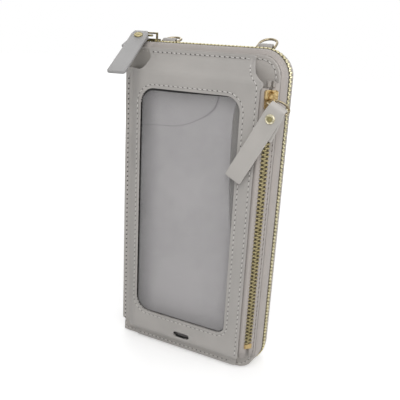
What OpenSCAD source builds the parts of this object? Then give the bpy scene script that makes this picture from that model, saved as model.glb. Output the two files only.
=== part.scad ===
// Zip-around phone pouch with a clear window pocket, two leather pulls and two D-rings.
// Origin: middle of the width, plane of the body zip, bottom of the pouch. Front faces -Y.

/* [Body] */
// Width of the covers
body_w = 95.5; // [92:0.5:104]
// Height of the covers
body_h = 187.5; // [180:0.5:200]
// Depth of the closed body, cover face to cover face
body_t = 22; // [20:0.5:26]
// Thickness of a cover
cover_t = 1.6; // [1.2:0.1:2]
// Radius of the covers' corners beside the zip
corner_r = 11; // [9:0.5:13]
// Radius of the fold between a cover and the spine
spine_r = 3; // [2.4:0.1:4]
// Thickness of the lining and of the inner pockets' leaves
lining_t = 0.8; // [0.6:0.1:1]

/* [Zips] */
// Distance between neighbouring teeth of one row
tooth_pitch = 2.24; // [2.1:0.02:2.5]
// Thickness of a tooth along the chain
tooth_l = 0.9; // [0.8:0.02:1]
// Width of the joined chain
chain_w = 4.4; // [4:0.1:4.8]
// Thickness of the chain
chain_t = 2.4; // [2.2:0.1:2.6]
// Reach of a tooth's head past the middle of the chain
tooth_reach = 0.7; // [0.6:0.05:0.8]
// Thickness of the zip tapes
tape_t = 0.8; // [0.6:0.1:0.9]
// How far the body zip stands out past the right edge
bulge_side = 1.9; // [1.4:0.1:2.6]
// How far the body zip stands out above the top edge
bulge_top = 2.9; // [2.2:0.1:3.6]
// Radius of the body zip's top corner
chain_r_top = 15; // [13:0.5:18]
// Radius of the body zip's bottom corner
chain_r_bottom = 13; // [12:0.5:16]

/* [Window pocket] */
// Distance of the window's right edge from the pocket's free edge
window_edge = 10.25; // [9:0.25:14]
// Height of the window opening
window_h = 141; // [130:0.5:145]
// Height of the window's lower edge above the bottom
window_z = 24.5; // [22:0.5:30]
// Distance of the window's left edge from the spine
window_x = 16; // [15:0.5:18]
// Radius of three of the window's corners
window_r = 8.5; // [6:0.5:10]
// Radius of the window's lower right corner
window_r_low = 5; // [4:0.5:8]
// Depth of the pocket in front of the cover
pocket_d = 9; // [8.5:0.5:12]
// Thickness of the pocket's leather
panel_t = 1.4; // [1:0.1:1.8]
// Distance of the panel's free edge from the right edge of the body
panel_edge = 7.25; // [7:0.25:9]
// Width of the flat hem sewn on the cover
hem_w = 4.5; // [4:0.1:5]
// Width of the sloping border at the left
slope_left = 9.5; // [8:0.5:10]
// Width of the sloping border at the top
slope_top = 8; // [7:0.5:9]
// Width of the sloping border at the bottom
slope_bottom = 6; // [5:0.5:7]
// Width of the cut-out at the panel's top left corner
notch_tl_w = 17; // [15:0.5:23]
// Height of the cut-out at the panel's top left corner
notch_tl_h = 12; // [11.5:0.5:12.5]
// Width of the cut-out at the panel's bottom left corner
notch_bl_w = 12.5; // [11:0.5:16]
// Height of the cut-out at the panel's bottom left corner
notch_bl_h = 9; // [7:0.5:10]
// Thickness of the clear film
film_t = 0.3; // [0.2:0.05:0.5]
// Distance of the slot's middle from the spine
slot_x = 49.5; // [40:0.5:60]
// Length of the slot under the window
slot_l = 11.5; // [9:0.5:14]
// Height of the slot under the window
slot_h = 3; // [2:0.25:3.5]
// Height of the slot's middle above the bottom
slot_z = 14.5; // [14:0.25:16]

/* [Pulls] */
// Width of a pull's leather strap
strap_w = 10; // [9:0.5:11]
// Length of a pull from its fold to its end
strap_l = 47; // [40:1:56]
// Thickness of the strap's leather
strap_t = 1.6; // [1.2:0.1:1.8]
// Length of the strap's short back layer
tail_l = 17; // [14:0.5:20]
// Turn of the short back layer away from the strap
tail_skew = 5; // [0:1:8]
// Diameter of the rivet's cap
rivet_d = 5.1; // [4.6:0.1:6]
// Wire of the pull's ring
ring_wire = 1.2; // [1:0.1:1.4]
// Length of the pull ring's straight sides
ring_leg = 2.3; // [2:0.1:3]

/* [Sliders and rings] */
// Length of a slider along its chain
slider_l = 10; // [9.5:0.5:11]
// Width of a slider at its wide end
slider_w = 7.2; // [7:0.1:8]
// Thickness of a slider's plates
plate_t = 0.9; // [0.7:0.1:1.1]
// Height of the crown's bar above the slider's plate
crown_h = 3.1; // [3:0.1:3.6]
// Distance of the body slider from the spine
main_slider_x = 9.75; // [9.5:0.25:11]
// Height of the pocket slider above the bottom
pocket_slider_z = 165.5; // [163:0.5:167]
// Wire of a D-ring
dring_wire = 1.4; // [1.2:0.1:1.6]
// Radius of a D-ring's round side, middle of the wire
dring_r = 5.2; // [4.8:0.1:6]
// Length of a D-ring's straight sides
dring_leg = 3.4; // [2:0.1:4]
// Distance of each D-ring from its side of the body
dring_in = 16.95; // [14:0.05:22]
// Lean of the left D-ring back from upright
dring_lean_left = 75; // [45:1:80]
// Lean of the right D-ring back from upright
dring_lean_right = 60; // [45:1:80]
// Thickness of a D-ring's leather loop
tab_t = 0.9; // [0.8:0.1:1.2]

/* [Hidden] */
$fn = 40;

// Clearance between curved faces of pieces that move against each other
run_gap = 0.3;
// Clearance beside the split between the two halves
split_gap = 0.15;
// Margin of the lining in the front pocket, and its distance from the panel's free edge
lining_inset = 2.5;
lining_gap = 18.6;
// Reach of the pocket zip's tape under the panel
tape_lap = 5;
// Clearance between a tooth's jaws and the tape
jaw_gap = 0.06;
// Segments of a rounded corner in the lofted tapes
arc_n = 10;

spine_x = -body_w / 2;
edge_x = body_w / 2;
half_t = body_t / 2;
// Inner face of a cover, measured from the plane of the zip
cover_in = half_t - cover_t;
// Faces of the lining, which lies on the tape's hem
lining_out = cover_in - tape_t;
lining_in = lining_out - lining_t;
// Width of the tape's hem between cover and lining
tape_hem = 6;
// Edge of each tape, inside the teeth
tape_edge = tooth_reach + 0.3;
// Half-width of the flat strip of tape that the slider runs on
tape_flat = slider_w / 2 + 0.6;
// Height of the tape's outer face over the ground, beside the cover and at the chain
low_edge = 0.3;
low_chain = chain_t / 2 - tape_t / 2 + 0.35;

// Radii about the hinge line of the zip's closed ends, which stay with the front half
top_end_r = main_slider_x + slider_l / 2 + 1;
bottom_end_r = 9;

lining_margin = bulge_top + tape_t;
// Start of the zip's closed ends, clear of the spine's fold
end_x = spine_x + spine_r + run_gap;
// Inner pockets
leaf_slit = 0.4;
leaf_margin = 6;
leaf_seam = 2;
card_leaves = 3;
card_top = 120;
card_step = 14;
note_top = 150;

// Start of the hems at the covers' edges, and the bottom hem's extra width
hem_start = 0.6;
low_hem_more = 0.5;
// Distance of the top and bottom borders' right ends from the panel's free edge
notch_tr_in = 2.7;
notch_br_in = 3.6;
// Clearance between the film's edge and the borders
film_gap = 0.2;

// The panel's flat part and the ends of its borders
window_x0 = spine_x + window_x;
window_w = body_w - panel_edge - window_x - window_edge;
panel_in = -half_t - pocket_d + panel_t;
panel_x0 = spine_x + hem_w + slope_left;
panel_x1 = edge_x - panel_edge;
panel_z0 = hem_w + low_hem_more + slope_bottom;
panel_z1 = body_h - hem_w - slope_top;
top_x1 = panel_x1 - notch_tr_in;
low_x1 = panel_x1 - notch_br_in;
film_lap = window_x - hem_w - slope_left - film_gap;

// Length of a zip's end stops, and the pocket zip's reach
stop_l = 3;
pocket_zip_low = slot_z - 2;
pocket_zip_top = panel_z1 - 1;
pocket_stop_z = 6;

// Middle of the pocket's chain in X and Y, by its distances from the cover's edge and the panel's face
chain_in = 2.75;
chain_sunk = 3.4;
pocket_chain = [edge_x - chain_in, -half_t - pocket_d + chain_sunk];
// The outer tape's slit beside the panel's edge, and the inner hem's distance from the cover's edge
seam_slit = 0.02;
hem_edge = 0.5;
// A point on the outer face of the pocket's tapes, in line with that middle
pocket_face = pocket_chain + [1, -1] * tape_t / 2 / sqrt(2);

// D-rings and their loops
dring_x = edge_x - dring_in;
tab_w = 2 * dring_r - dring_wire - 0.6;
tab_hem = 8;
dring_y = cover_in + tab_t / 2;
dring_rise = 3.7;
dring_z = body_h + dring_rise;

// Sliders, pulls and their frames
wedge_gap = 0.35;
wedge_w = tape_edge - wedge_gap;
crown_t = 1;
crown_leg = 0.9;
crown_in = 0.6;
plate_gap = 0.1;
rail_gap = 0.3;
tape_gap = 0.25;
// Overlap of joined shapes
merge = 0.01;
pull_r = strap_w / 2 + ring_wire / 2 + 0.1;
rivet_at = 5.5;
rivet_shank = 1.8;
layer_slit = 0.1;
fold_end = 0.7;
tail_start = 3.2;
plate_top = chain_t / 2 + plate_gap + plate_t;
wire_drop = crown_t / 2 + run_gap + ring_wire / 2;

leather = [0.67, 0.65, 0.64];
lining_grey = [0.62, 0.61, 0.62];
tape_grey = [0.66, 0.62, 0.62];
gold = [0.80, 0.66, 0.42];
pale_gold = [0.74, 0.68, 0.50];

// Point of the body zip's rim: share of the bulge k, depth d under the outer face, step i
function rim_x(k, d) = edge_x + k * bulge_side - d;
function rim_top(k, d) = body_h + k * bulge_top - d;
function rim_low(k, d) = low_edge + k * (low_chain - low_edge) + d;
function rim_rt(k, d) = corner_r + k * (chain_r_top - corner_r) - d;
function rim_rb(k, d) = corner_r + k * (chain_r_bottom - corner_r) - d;

// Outline of the rim from the lower left end round to the upper left end
function rim(k, d, x_low, x_top) = let(x = rim_x(k, d), t = rim_top(k, d), b = rim_low(k, d),
        rt = rim_rt(k, d), rb = rim_rb(k, d))
    concat([[x_low, b]],
        [for (i = [0:arc_n]) let(a = 90 * i / arc_n) [x - rb + rb * sin(a), b + rb - rb * cos(a)]],
        [for (i = [0:arc_n]) let(a = 90 * i / arc_n) [x - rt + rt * cos(a), t - rt + rt * sin(a)]],
        [[x_top, t]]);

// Stations across one tape of the body zip as [share of bulge, depth, y], hem to chain and back
tape_section = [
    [0, tape_hem, cover_in], [0, 0, cover_in], [0.6, 0, cover_in - 1.6], [1, 0, tape_flat],
    [1, 0, tape_edge], [1, tape_t, tape_edge], [1, tape_t, tape_flat],
    [0.6, tape_t, cover_in - 2], [0, tape_t, lining_out], [0, tape_hem, lining_out]];

// Tape of the body zip on the +Y side, between two places on the bottom and top runs
module rim_band(x_low, x_top) {
    lines = [for (s = tape_section) rim(s[0], s[1], x_low, x_top)];
    m = len(tape_section);
    n = len(lines[0]);
    points = [for (i = [0:n - 1]) for (j = [0:m - 1])
        [lines[j][i][0], tape_section[j][2], lines[j][i][1]]];
    sides = [for (i = [0:n - 2]) for (j = [0:m - 1]) let(a = i * m + j, b = i * m + (j + 1) % m)
        for (f = [[a, b, b + m], [a, b + m, a + m]]) f];
    caps = [[for (j = [m - 1:-1:0]) j], [for (j = [0:m - 1]) (n - 1) * m + j]];
    polyhedron(points, concat(sides, caps));
}

// Section of the body zip's tape across the top or the bottom run, as [y, height] points
function run_section(top) = [for (s = tape_section)
    [s[2], top ? rim_top(s[0], s[1]) : rim_low(s[0], s[1])]];

// Straight stretch of the +Y tape along the top or the bottom run
module run_band(x0, x1, top) {
    translate([x0, 0, 0]) rotate([90, 0, 90]) linear_extrude(x1 - x0) polygon(run_section(top));
}

// Middle line of the body zip's tape at the chain, by the distance walked from the lower end
mid = tape_t / 2;
chain_x = rim_x(1, mid);
chain_top = rim_top(1, mid);
chain_low = rim_low(1, mid);
chain_rt = rim_rt(1, mid);
chain_rb = rim_rb(1, mid);
chain_start = spine_x + bottom_end_r + 0.6;
run_1 = chain_x - chain_rb - chain_start;
run_2 = run_1 + chain_rb * PI / 2;
run_3 = run_2 + chain_top - chain_rt - chain_low - chain_rb;
run_4 = run_3 + chain_rt * PI / 2;
// The joined teeth end inside the slider, ahead of its wedge
run_5 = run_4 + chain_x - chain_rt - (spine_x + main_slider_x);

// Frames of the body slider, its pull, and the pocket slider's pull
main_at = [spine_x + main_slider_x, 0, chain_top];
main_across = [0.963, 0.27, 0];
main_way = [0.238, -0.87, -0.432];
// The main ring's bar from the slider's middle in X and Y
main_hold = [-2.8, -6.45];
main_bar = main_at + [main_hold[0], main_hold[1], plate_top + crown_h - wire_drop];
pocket_across = [0.907, 0.03, -0.42];
pocket_way = [-0.4, 0.05, -0.915];
pocket_ring_way = [0.1, 0.95, 0.29];
// Point of the pocket's ring that lies under the slider's crown, from the ring's bar, and
// the way from the crown's bar to it
pocket_hold = [-5.2, 4.6];
pocket_side = [-0.89, 0.456, 0];
pocket_out = [1, -1, 0] / sqrt(2);
pocket_bar = [pocket_chain[0], pocket_chain[1], pocket_slider_z] + pocket_out * (plate_top + crown_h)
    + wire_drop * pocket_side - pocket_hold[0] * pocket_across
    - pocket_hold[1] * pocket_ring_way;

// Place on the chain at distance s as [x, z, heading]
function chain_at(s) = s < run_1 ? [chain_start + s, chain_low, 0]
    : s < run_2 ? let(a = (s - run_1) / chain_rb * 180 / PI)
        [chain_x - chain_rb + chain_rb * sin(a), chain_low + chain_rb - chain_rb * cos(a), a]
    : s < run_3 ? [chain_x, chain_low + chain_rb + s - run_2, 90]
    : s < run_4 ? let(a = (s - run_3) / chain_rt * 180 / PI)
        [chain_x - chain_rt + chain_rt * cos(a), chain_top - chain_rt + chain_rt * sin(a), 90 + a]
    : [chain_x - chain_rt - (s - run_4), chain_top, 180];

// One tooth on the +Y tape: a jaw that grips the tape's edge, with a narrowed head
module tooth() {
    h = chain_t / 2;
    jaw = tape_t / 2 + jaw_gap;
    rotate([90, 0, 90]) translate([0, 0, -tooth_l / 2]) linear_extrude(tooth_l) polygon([
        [chain_w / 2, jaw], [chain_w / 2, h - 0.3], [chain_w / 2 - 0.4, h],
        [0, h], [-tooth_reach, h - 0.5], [-tooth_reach, 0.5 - h], [0, -h],
        [chain_w / 2 - 0.4, -h], [chain_w / 2, 0.3 - h], [chain_w / 2, -jaw],
        [tape_edge - jaw_gap, -jaw], [tape_edge - jaw_gap, jaw]]);
}

// Row of teeth on the +Y side of the body zip, shifted along the chain by half a pitch or none
module body_teeth(shift) {
    for (s = [tooth_l / 2 + shift * tooth_pitch : tooth_pitch : run_5 - tooth_l / 2]) {
        p = chain_at(s);
        translate([p[0], 0, p[1]]) rotate([0, -p[2], 0]) tooth();
    }
}

// Flat outline of a cover with round corners at the right, in by a margin
module cover_outline(x0, margin) {
    r = corner_r - margin;
    x1 = edge_x - margin;
    z0 = margin;
    z1 = body_h - margin;
    translate([x0, z0]) square([x1 - r - x0, z1 - z0]);
    translate([x0, z0 + r]) square([x1 - x0, z1 - z0 - 2 * r]);
    for (z = [z0 + r, z1 - r]) translate([x1 - r, z]) circle(r);
}

// Upright plate from an outline in X and Z, between two depths
module upright(y0, y1) {
    translate([0, y1, 0]) rotate([90, 0, 0]) linear_extrude(y1 - y0) children();
}

// Rectangle in X and Z by its corners
module pane(x0, x1, z0, z1) {
    translate([x0, z0]) square([x1 - x0, z1 - z0]);
}

// Stands children with their x axis along x and their y axis near y, at o
module frame_at(o, x, y) {
    ux = x / norm(x);
    uz = cross(ux, y) / norm(cross(ux, y));
    uy = cross(uz, ux);
    multmatrix([[ux[0], uy[0], uz[0], o[0]], [ux[1], uy[1], uz[1], o[1]],
        [ux[2], uy[2], uz[2], o[2]], [0, 0, 0, 1]]) children();
}

// Unit normal at point i of an open line in the plane
function line_normal(p, i) = let(a = p[max(i - 1, 0)], b = p[min(i + 1, len(p) - 1)],
        c = p[i], u = i > 0 ? (c - a) / norm(c - a) : (b - c) / norm(b - c),
        v = i < len(p) - 1 ? (b - c) / norm(b - c) : u, m = u + v)
    [-m[1], m[0]] / (m * u);

// Closed outline of a ribbon that lies from 0 to t beside an open line
function ribbon(p, t) = concat(p, [for (i = [len(p) - 1:-1:0]) p[i] + t * line_normal(p, i)]);

// Front cover, flat from the spine's fold to the zip
module front_cover() {
    color(leather) upright(-half_t, -cover_in) cover_outline(spine_x + spine_r, 0);
}

// Half of the spine on the +Y side, folded round from the cover to the middle
module spine_half() {
    linear_extrude(body_h) {
        intersection() {
            translate([spine_x + spine_r, half_t - spine_r]) difference() {
                circle(spine_r);
                circle(spine_r - cover_t);
            }
            translate([spine_x, half_t - spine_r]) square(spine_r);
        }
        translate([spine_x, split_gap]) square([cover_t, half_t - spine_r - split_gap]);
    }
}

module front_spine() {
    color(leather) mirror([0, 1, 0]) spine_half();
}

// Lining of the +Y half, with a raised middle that fills the space inside the tape's hem
module lining_half() {
    x0 = spine_x + spine_r + 0.5;
    upright(lining_in, lining_out) cover_outline(x0, lining_margin);
    upright(lining_out, cover_in) cover_outline(x0, tape_hem + low_edge + 0.2);
}

module front_lining() {
    color(lining_grey) mirror([0, 1, 0]) lining_half();
}

// Stack of open-topped leaves on the +Y lining, joined along their sides and bottoms
module leaves(count, tall, step) {
    for (i = [0:count - 1]) {
        y = lining_in - (i + 1) * (lining_t + leaf_slit);
        x0 = spine_x + leaf_margin;
        x1 = edge_x - leaf_margin;
        top = leaf_margin + tall - i * step;
        upright(y, y + lining_t) pane(x0, x1, leaf_margin, top);
        upright(y + lining_t, y + lining_t + leaf_slit) {
            pane(x0, x0 + leaf_seam, leaf_margin, top);
            pane(x1 - leaf_seam, x1, leaf_margin, top);
            pane(x0 + leaf_seam, x1 - leaf_seam, leaf_margin, leaf_margin + leaf_seam);
        }
    }
}

module front_card_pockets() {
    color(leather) mirror([0, 1, 0]) leaves(card_leaves, card_top, card_step);
}

module front_zip_tape() {
    color(tape_grey) mirror([0, 1, 0]) rim_band(spine_x + bottom_end_r, spine_x + top_end_r);
}

module front_zip_teeth() {
    color(pale_gold) mirror([0, 1, 0]) body_teeth(0);
}

// Both tapes of the zip's closed end at the top of the spine, under the slider
module zip_top_end() {
    color(tape_grey) {
        mirror([0, 1, 0]) run_band(end_x, spine_x + top_end_r, true);
        intersection() {
            run_band(end_x, spine_x + top_end_r, true);
            translate([spine_x, 0, body_h + run_gap]) cylinder(r = top_end_r, h = bulge_top);
        }
    }
}

// Both tapes of the zip's closed end at the foot of the spine
module zip_bottom_end() {
    color(tape_grey) {
        mirror([0, 1, 0]) run_band(end_x, spine_x + bottom_end_r, false);
        intersection() {
            run_band(end_x, spine_x + bottom_end_r, false);
            translate([spine_x, 0, 0]) cylinder(r = bottom_end_r, h = low_chain + 2 * tape_t);
            translate([end_x, 0, 0]) cube([bottom_end_r, lining_in - run_gap, low_chain + 2 * tape_t]);
        }
    }
}

// A small metal stop clamped on the +Y tape's edge, along X
module stop_clamp(length) {
    h = chain_t / 2;
    rotate([90, 0, 90]) translate([0, 0, -length / 2]) linear_extrude(length) polygon([
        [chain_w / 2, tape_t / 2], [chain_w / 2, h - 0.3], [chain_w / 2 - 0.4, h],
        [tape_edge - 0.2, h], [tape_edge - 0.2, -h], [chain_w / 2 - 0.4, -h],
        [chain_w / 2, 0.3 - h], [chain_w / 2, -tape_t / 2], [tape_edge, -tape_t / 2],
        [tape_edge, tape_t / 2]]);
}

// A block that joins both tapes, with a slot for each, along X
module stop_block(length) {
    difference() {
        translate([-length / 2, -chain_w / 2, -chain_t / 2]) cube([length, chain_w, chain_t]);
        for (side = [0, 1]) mirror([0, side, 0])
            translate([-length, tape_edge, -tape_t / 2]) cube([2 * length, chain_w, tape_t]);
    }
}

module main_top_stops() {
    color(pale_gold) translate([spine_x + stop_l, 0, chain_top])
        for (side = [0, 1]) mirror([0, side, 0]) stop_clamp(stop_l);
}

module main_bottom_stop() {
    color(pale_gold) translate([spine_x + bottom_end_r - 0.8 - stop_l / 2, 0, chain_low])
        stop_block(stop_l);
}

// Outline of the panel's flat part in X and Z, with a rounded inner corner at each cut-out
module panel_flat() {
    difference() {
        pane(panel_x0, panel_x1, panel_z0, panel_z1);
        translate([window_x0, window_z]) window_outline(0);
        hull() for (dx = [-1, 1])
            translate([spine_x + slot_x + dx * (slot_l - slot_h) / 2, slot_z])
                circle(slot_h / 2);
    }
}

// The window's outline, grown by a margin
module window_outline(m) {
    r = window_r + m;
    q = window_r_low + m;
    w = window_w + 2 * m;
    h = window_h + 2 * m;
    translate([-m, -m]) {
        translate([r, 0]) square([w - r - q, h]);
        translate([0, r]) square([w, h - 2 * r]);
        translate([w - r, q]) square([r, h - q - r]);
        for (p = [[r, r], [r, h - r], [w - r, h - r]]) translate(p) circle(r);
        translate([w - q, q]) circle(q);
    }
}

// Front pocket's leather: flat face, three sloping borders and their hems, corners cut away
module window_panel() {
    rise = pocket_d - panel_t;
    left = ribbon([[spine_x + hem_start, -half_t], [spine_x + hem_w, -half_t],
        [panel_x0, -half_t - rise], [panel_x0 + 2, -half_t - rise]], -panel_t);
    top = ribbon([[-half_t, body_h - hem_start], [-half_t, body_h - hem_w],
        [-half_t - rise, panel_z1], [-half_t - rise, panel_z1 - 2]], -panel_t);
    low = ribbon([[-half_t, hem_start], [-half_t, hem_w + low_hem_more],
        [-half_t - rise, panel_z0], [-half_t - rise, panel_z0 + 2]], panel_t);
    color(leather) {
        upright(-half_t - pocket_d, -half_t - rise) panel_flat();
        translate([0, 0, notch_bl_h]) linear_extrude(body_h - notch_tl_h - notch_bl_h) polygon(left);
        translate([spine_x + notch_tl_w, 0, 0]) rotate([90, 0, 90])
            linear_extrude(top_x1 - spine_x - notch_tl_w) polygon(top);
        translate([spine_x + notch_bl_w, 0, 0]) rotate([90, 0, 90])
            linear_extrude(low_x1 - spine_x - notch_bl_w) polygon(low);
    }
}

module window_film() {
    color([0.75, 0.76, 0.78, 0.5]) upright(panel_in, panel_in + film_t)
        translate([window_x0, window_z]) window_outline(film_lap);
}

// Plate of lining on the cover inside the pocket
module pocket_lining() {
    color(lining_grey) upright(-half_t - lining_t, -half_t)
        pane(spine_x + hem_w + lining_inset, panel_x1 - lining_gap,
            hem_w + lining_inset, body_h - hem_w - lining_inset);
}

// Places children on the pocket's chain: x down the chain, y across it, z out of it
module on_pocket_chain(z) {
    frame_at([pocket_chain[0], pocket_chain[1], z], [0, 0, -1], [1, 1, 0]) children();
}

// Outline of a pocket tape in X and Y, given its middle line
module pocket_tape(line, t) {
    translate([0, 0, pocket_zip_low]) linear_extrude(pocket_zip_top - pocket_zip_low)
        polygon(ribbon(line, t));
}

module pocket_zip_tape_outer() {
    a = pocket_face - [1, 1] * tape_edge / sqrt(2);
    b = pocket_face - [1, 1] * (tape_flat + run_gap) / sqrt(2);
    color(tape_grey) pocket_tape([[panel_x1 - tape_lap, panel_in],
        [panel_x1 + seam_slit, panel_in], b, a], tape_t);
}

module pocket_zip_tape_inner() {
    a = pocket_face + [1, 1] * tape_edge / sqrt(2);
    b = pocket_face + [1, 1] * (tape_flat + run_gap) / sqrt(2);
    color(tape_grey) pocket_tape([a, b, [edge_x - hem_edge, -half_t], [edge_x - tape_hem, -half_t]],
        tape_t);
}

// Row of teeth on one side of the pocket zip: side 0 next to the cover, 1 next to the panel
module pocket_teeth(side) {
    first = tooth_l / 2 + side * tooth_pitch / 2;
    run = pocket_slider_z - pocket_zip_low - pocket_stop_z - stop_l;
    for (s = [first:tooth_pitch:run - tooth_l / 2])
        on_pocket_chain(pocket_slider_z - 0.4 - s) mirror([0, side, 0]) tooth();
}

module pocket_zip_teeth_outer() {
    color(pale_gold) pocket_teeth(1);
}

module pocket_zip_teeth_inner() {
    color(pale_gold) pocket_teeth(0);
}

module pocket_top_stops() {
    color(gold) on_pocket_chain(pocket_slider_z + slider_l / 2 + stop_l)
        for (side = [0, 1]) mirror([0, side, 0]) stop_clamp(stop_l);
}

module pocket_bottom_stop() {
    color(gold) on_pocket_chain(pocket_zip_low + pocket_stop_z + stop_l / 2)
        stop_block(stop_l);
}

module back_cover() {
    color(leather) difference() {
        upright(cover_in, half_t) cover_outline(spine_x + spine_r, 0);
        for (x = [-dring_x, dring_x]) translate([x - tab_w / 2, cover_in - 1, body_h - tab_hem])
            cube([tab_w, 1 + tab_t, tab_hem + 1]);
    }
}

module back_spine() {
    color(leather) spine_half();
}

module back_lining() {
    color(lining_grey) lining_half();
}

module back_note_pocket() {
    color(leather) leaves(1, note_top, 0);
}

module back_zip_tape() {
    color(tape_grey) difference() {
        rim_band(spine_x + bottom_end_r - 2, spine_x + top_end_r - 3);
        translate([spine_x, 0, -1]) cylinder(r = bottom_end_r + run_gap, h = body_h / 2);
        translate([spine_x, 0, body_h / 2]) cylinder(r = top_end_r + run_gap, h = body_h);
    }
}

module back_zip_teeth() {
    color(pale_gold) body_teeth(0.5);
}

// Leather loop round a D-ring's bar, with a stem sewn behind the back cover's edge
module dring_tab(x) {
    ri = dring_wire / 2 + run_gap;
    z = dring_z;
    color(leather) translate([x - tab_w / 2, 0, 0]) rotate([90, 0, 90]) linear_extrude(tab_w) {
        difference() {
            translate([dring_y, z]) circle(ri + tab_t);
            translate([dring_y, z]) circle(ri);
        }
        translate([cover_in, body_h - tab_hem]) square([tab_t, z - ri - body_h + tab_hem]);
    }
}

module dring_tab_left() {
    dring_tab(-dring_x);
}

module dring_tab_right() {
    dring_tab(dring_x);
}

// A slider: x is the way it opens the chain, y across the chain, z out of it
module slider() {
    l = slider_l / 2;
    w = slider_w / 2;
    inner = chain_w / 2 + rail_gap;
    gap = tape_t / 2 + tape_gap;
    z0 = chain_t / 2 + plate_gap;
    z1 = z0 + plate_t;
    shape = [[-l, 0.8 - w], [0.8 - l, -w], [-1, -w], [1, 0.3 - w], [l - 0.6, 0.3 - w],
        [l, 0.9 - w], [l, w - 0.9], [l - 0.6, w - 0.3], [1, w - 0.3], [-1, w], [0.8 - l, w],
        [-l, w - 0.8]];
    for (side = [0, 1]) mirror([0, 0, side]) {
        translate([0, 0, z0]) linear_extrude(plate_t) polygon(shape);
        translate([0, 0, gap]) linear_extrude(z0 - gap + merge) difference() {
            polygon(shape);
            translate([-2 * l, -inner]) square([4 * l, 2 * inner]);
        }
    }
    translate([0, 0, -z0]) linear_extrude(2 * z0)
        polygon([[-l, -0.4], [-l + 0.4, -wedge_w], [-2, -wedge_w], [-0.9, 0], [-2, wedge_w],
            [-l + 0.4, wedge_w], [-l, 0.4]]);
    for (side = [0, 1]) mirror([side, 0, 0]) translate([l - crown_in - crown_leg, 0, 0])
        rotate([90, 0, 90]) linear_extrude(crown_leg) {
            translate([-crown_t / 2, z1 - merge]) square([crown_t, crown_h + merge]);
            translate([0, z1 + crown_h]) circle(d = crown_t);
        }
    translate([0, 0, z1 + crown_h]) rotate([0, 90, 0])
        cylinder(d = crown_t, h = 2 * (l - crown_in - crown_leg + merge), center = true);
}

// A D-shaped wire ring with its bar along x and its round side towards +y
module wire_ring(wire, r, leg) {
    rotate([0, 90, 0]) cylinder(d = wire, h = 2 * r, center = true);
    for (x = [-r, r]) {
        translate([x, 0, 0]) sphere(d = wire);
        translate([x, 0, 0]) rotate([-90, 0, 0]) cylinder(d = wire, h = leg);
    }
    translate([0, leg, 0]) rotate_extrude(angle = 180) translate([r, 0]) circle(d = wire);
}

// A leather strap folded round the bar at its origin: x across it, y along it, z its face
module strap() {
    ri = ring_wire / 2 + run_gap;
    ro = ri + strap_t;
    fold = [for (a = [90:15:270]) [ri * cos(a), ri * sin(a)]];
    rt = ri - layer_slit;
    line = concat([[strap_l, ri]], fold, [[fold_end, -ri], [tail_start, rt], [tail_start + 1.5, rt]]);
    difference() {
        union() {
            translate([-strap_w / 2, 0, 0]) rotate([90, 0, 90]) linear_extrude(strap_w)
                polygon(ribbon(line, -strap_t));
            translate([0, tail_start, 0]) rotate([0, 0, tail_skew]) {
                translate([-strap_w / 2, 0, rt - strap_t]) cube([strap_w, tail_l - tail_start, strap_t]);
            }
        }
        translate([0, rivet_at, -ro]) cylinder(d = rivet_shank + 0.1, h = 2 * ro);
    }
}

// A rivet through both layers of a strap: domed cap with a raised rim, shank and back cap
module rivet() {
    top = ring_wire / 2 + run_gap + strap_t;
    low = top - 2 * strap_t - layer_slit;
    translate([0, rivet_at, 0]) rotate_extrude() polygon([[0, low - 0.5], [rivet_d * 0.3, low - 0.5],
        [rivet_d * 0.34, low], [rivet_shank / 2, low], [rivet_shank / 2, top], [rivet_d / 2, top],
        [rivet_d / 2, top + 0.4], [rivet_d / 2 - 0.3, top + 0.75], [rivet_d / 2 - 0.7, top + 0.6],
        [0, top + 0.8]]);
}

// Frames of the two pulls: at a ring's bar, with the strap's way and the ring's way
module on_main_strap() {
    frame_at(main_bar, -main_across, main_way) children();
}

module on_pocket_strap() {
    frame_at(pocket_bar, -pocket_across, pocket_way) children();
}

module main_slider() {
    color(gold) translate(main_at) slider();
}

module main_pull_ring() {
    color(gold) frame_at(main_bar, main_across, [-main_across[1], main_across[0], 0])
        wire_ring(ring_wire, pull_r, ring_leg);
}

module main_pull_strap() {
    color(leather) on_main_strap() strap();
}

module main_pull_rivet() {
    color(gold) on_main_strap() rivet();
}

module pocket_slider() {
    color(gold) on_pocket_chain(pocket_slider_z) slider();
}

module pocket_pull_ring() {
    color(gold) frame_at(pocket_bar, pocket_across, pocket_ring_way)
        wire_ring(ring_wire, pull_r, ring_leg);
}

module pocket_pull_strap() {
    color(leather) on_pocket_strap() strap();
}

module pocket_pull_rivet() {
    color(gold) on_pocket_strap() rivet();
}

// A D-ring at its loop, leaning back from upright
module dring(x, lean) {
    color(gold) translate([x, dring_y, dring_z]) rotate([90 - lean, 0, 0])
        wire_ring(dring_wire, dring_r, dring_leg);
}

module dring_left() {
    dring(-dring_x, dring_lean_left);
}

module dring_right() {
    dring(dring_x, dring_lean_right);
}

front_cover();
front_spine();
front_lining();
front_card_pockets();
front_zip_tape();
front_zip_teeth();
zip_top_end();
zip_bottom_end();
main_top_stops();
main_bottom_stop();
window_panel();
window_film();
pocket_lining();
pocket_zip_tape_outer();
pocket_zip_tape_inner();
pocket_zip_teeth_outer();
pocket_zip_teeth_inner();
pocket_top_stops();
pocket_bottom_stop();
back_cover();
back_spine();
back_lining();
back_note_pocket();
back_zip_tape();
back_zip_teeth();
dring_tab_left();
dring_tab_right();
main_slider();
main_pull_ring();
main_pull_strap();
main_pull_rivet();
pocket_slider();
pocket_pull_ring();
pocket_pull_strap();
pocket_pull_rivet();
dring_left();
dring_right();
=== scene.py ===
"""The dressed phone pouch: leather, zips, film, pulls and light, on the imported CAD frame."""
import logging
import math
from dataclasses import dataclass
from enum import Enum
from typing import Callable, Sequence

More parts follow.
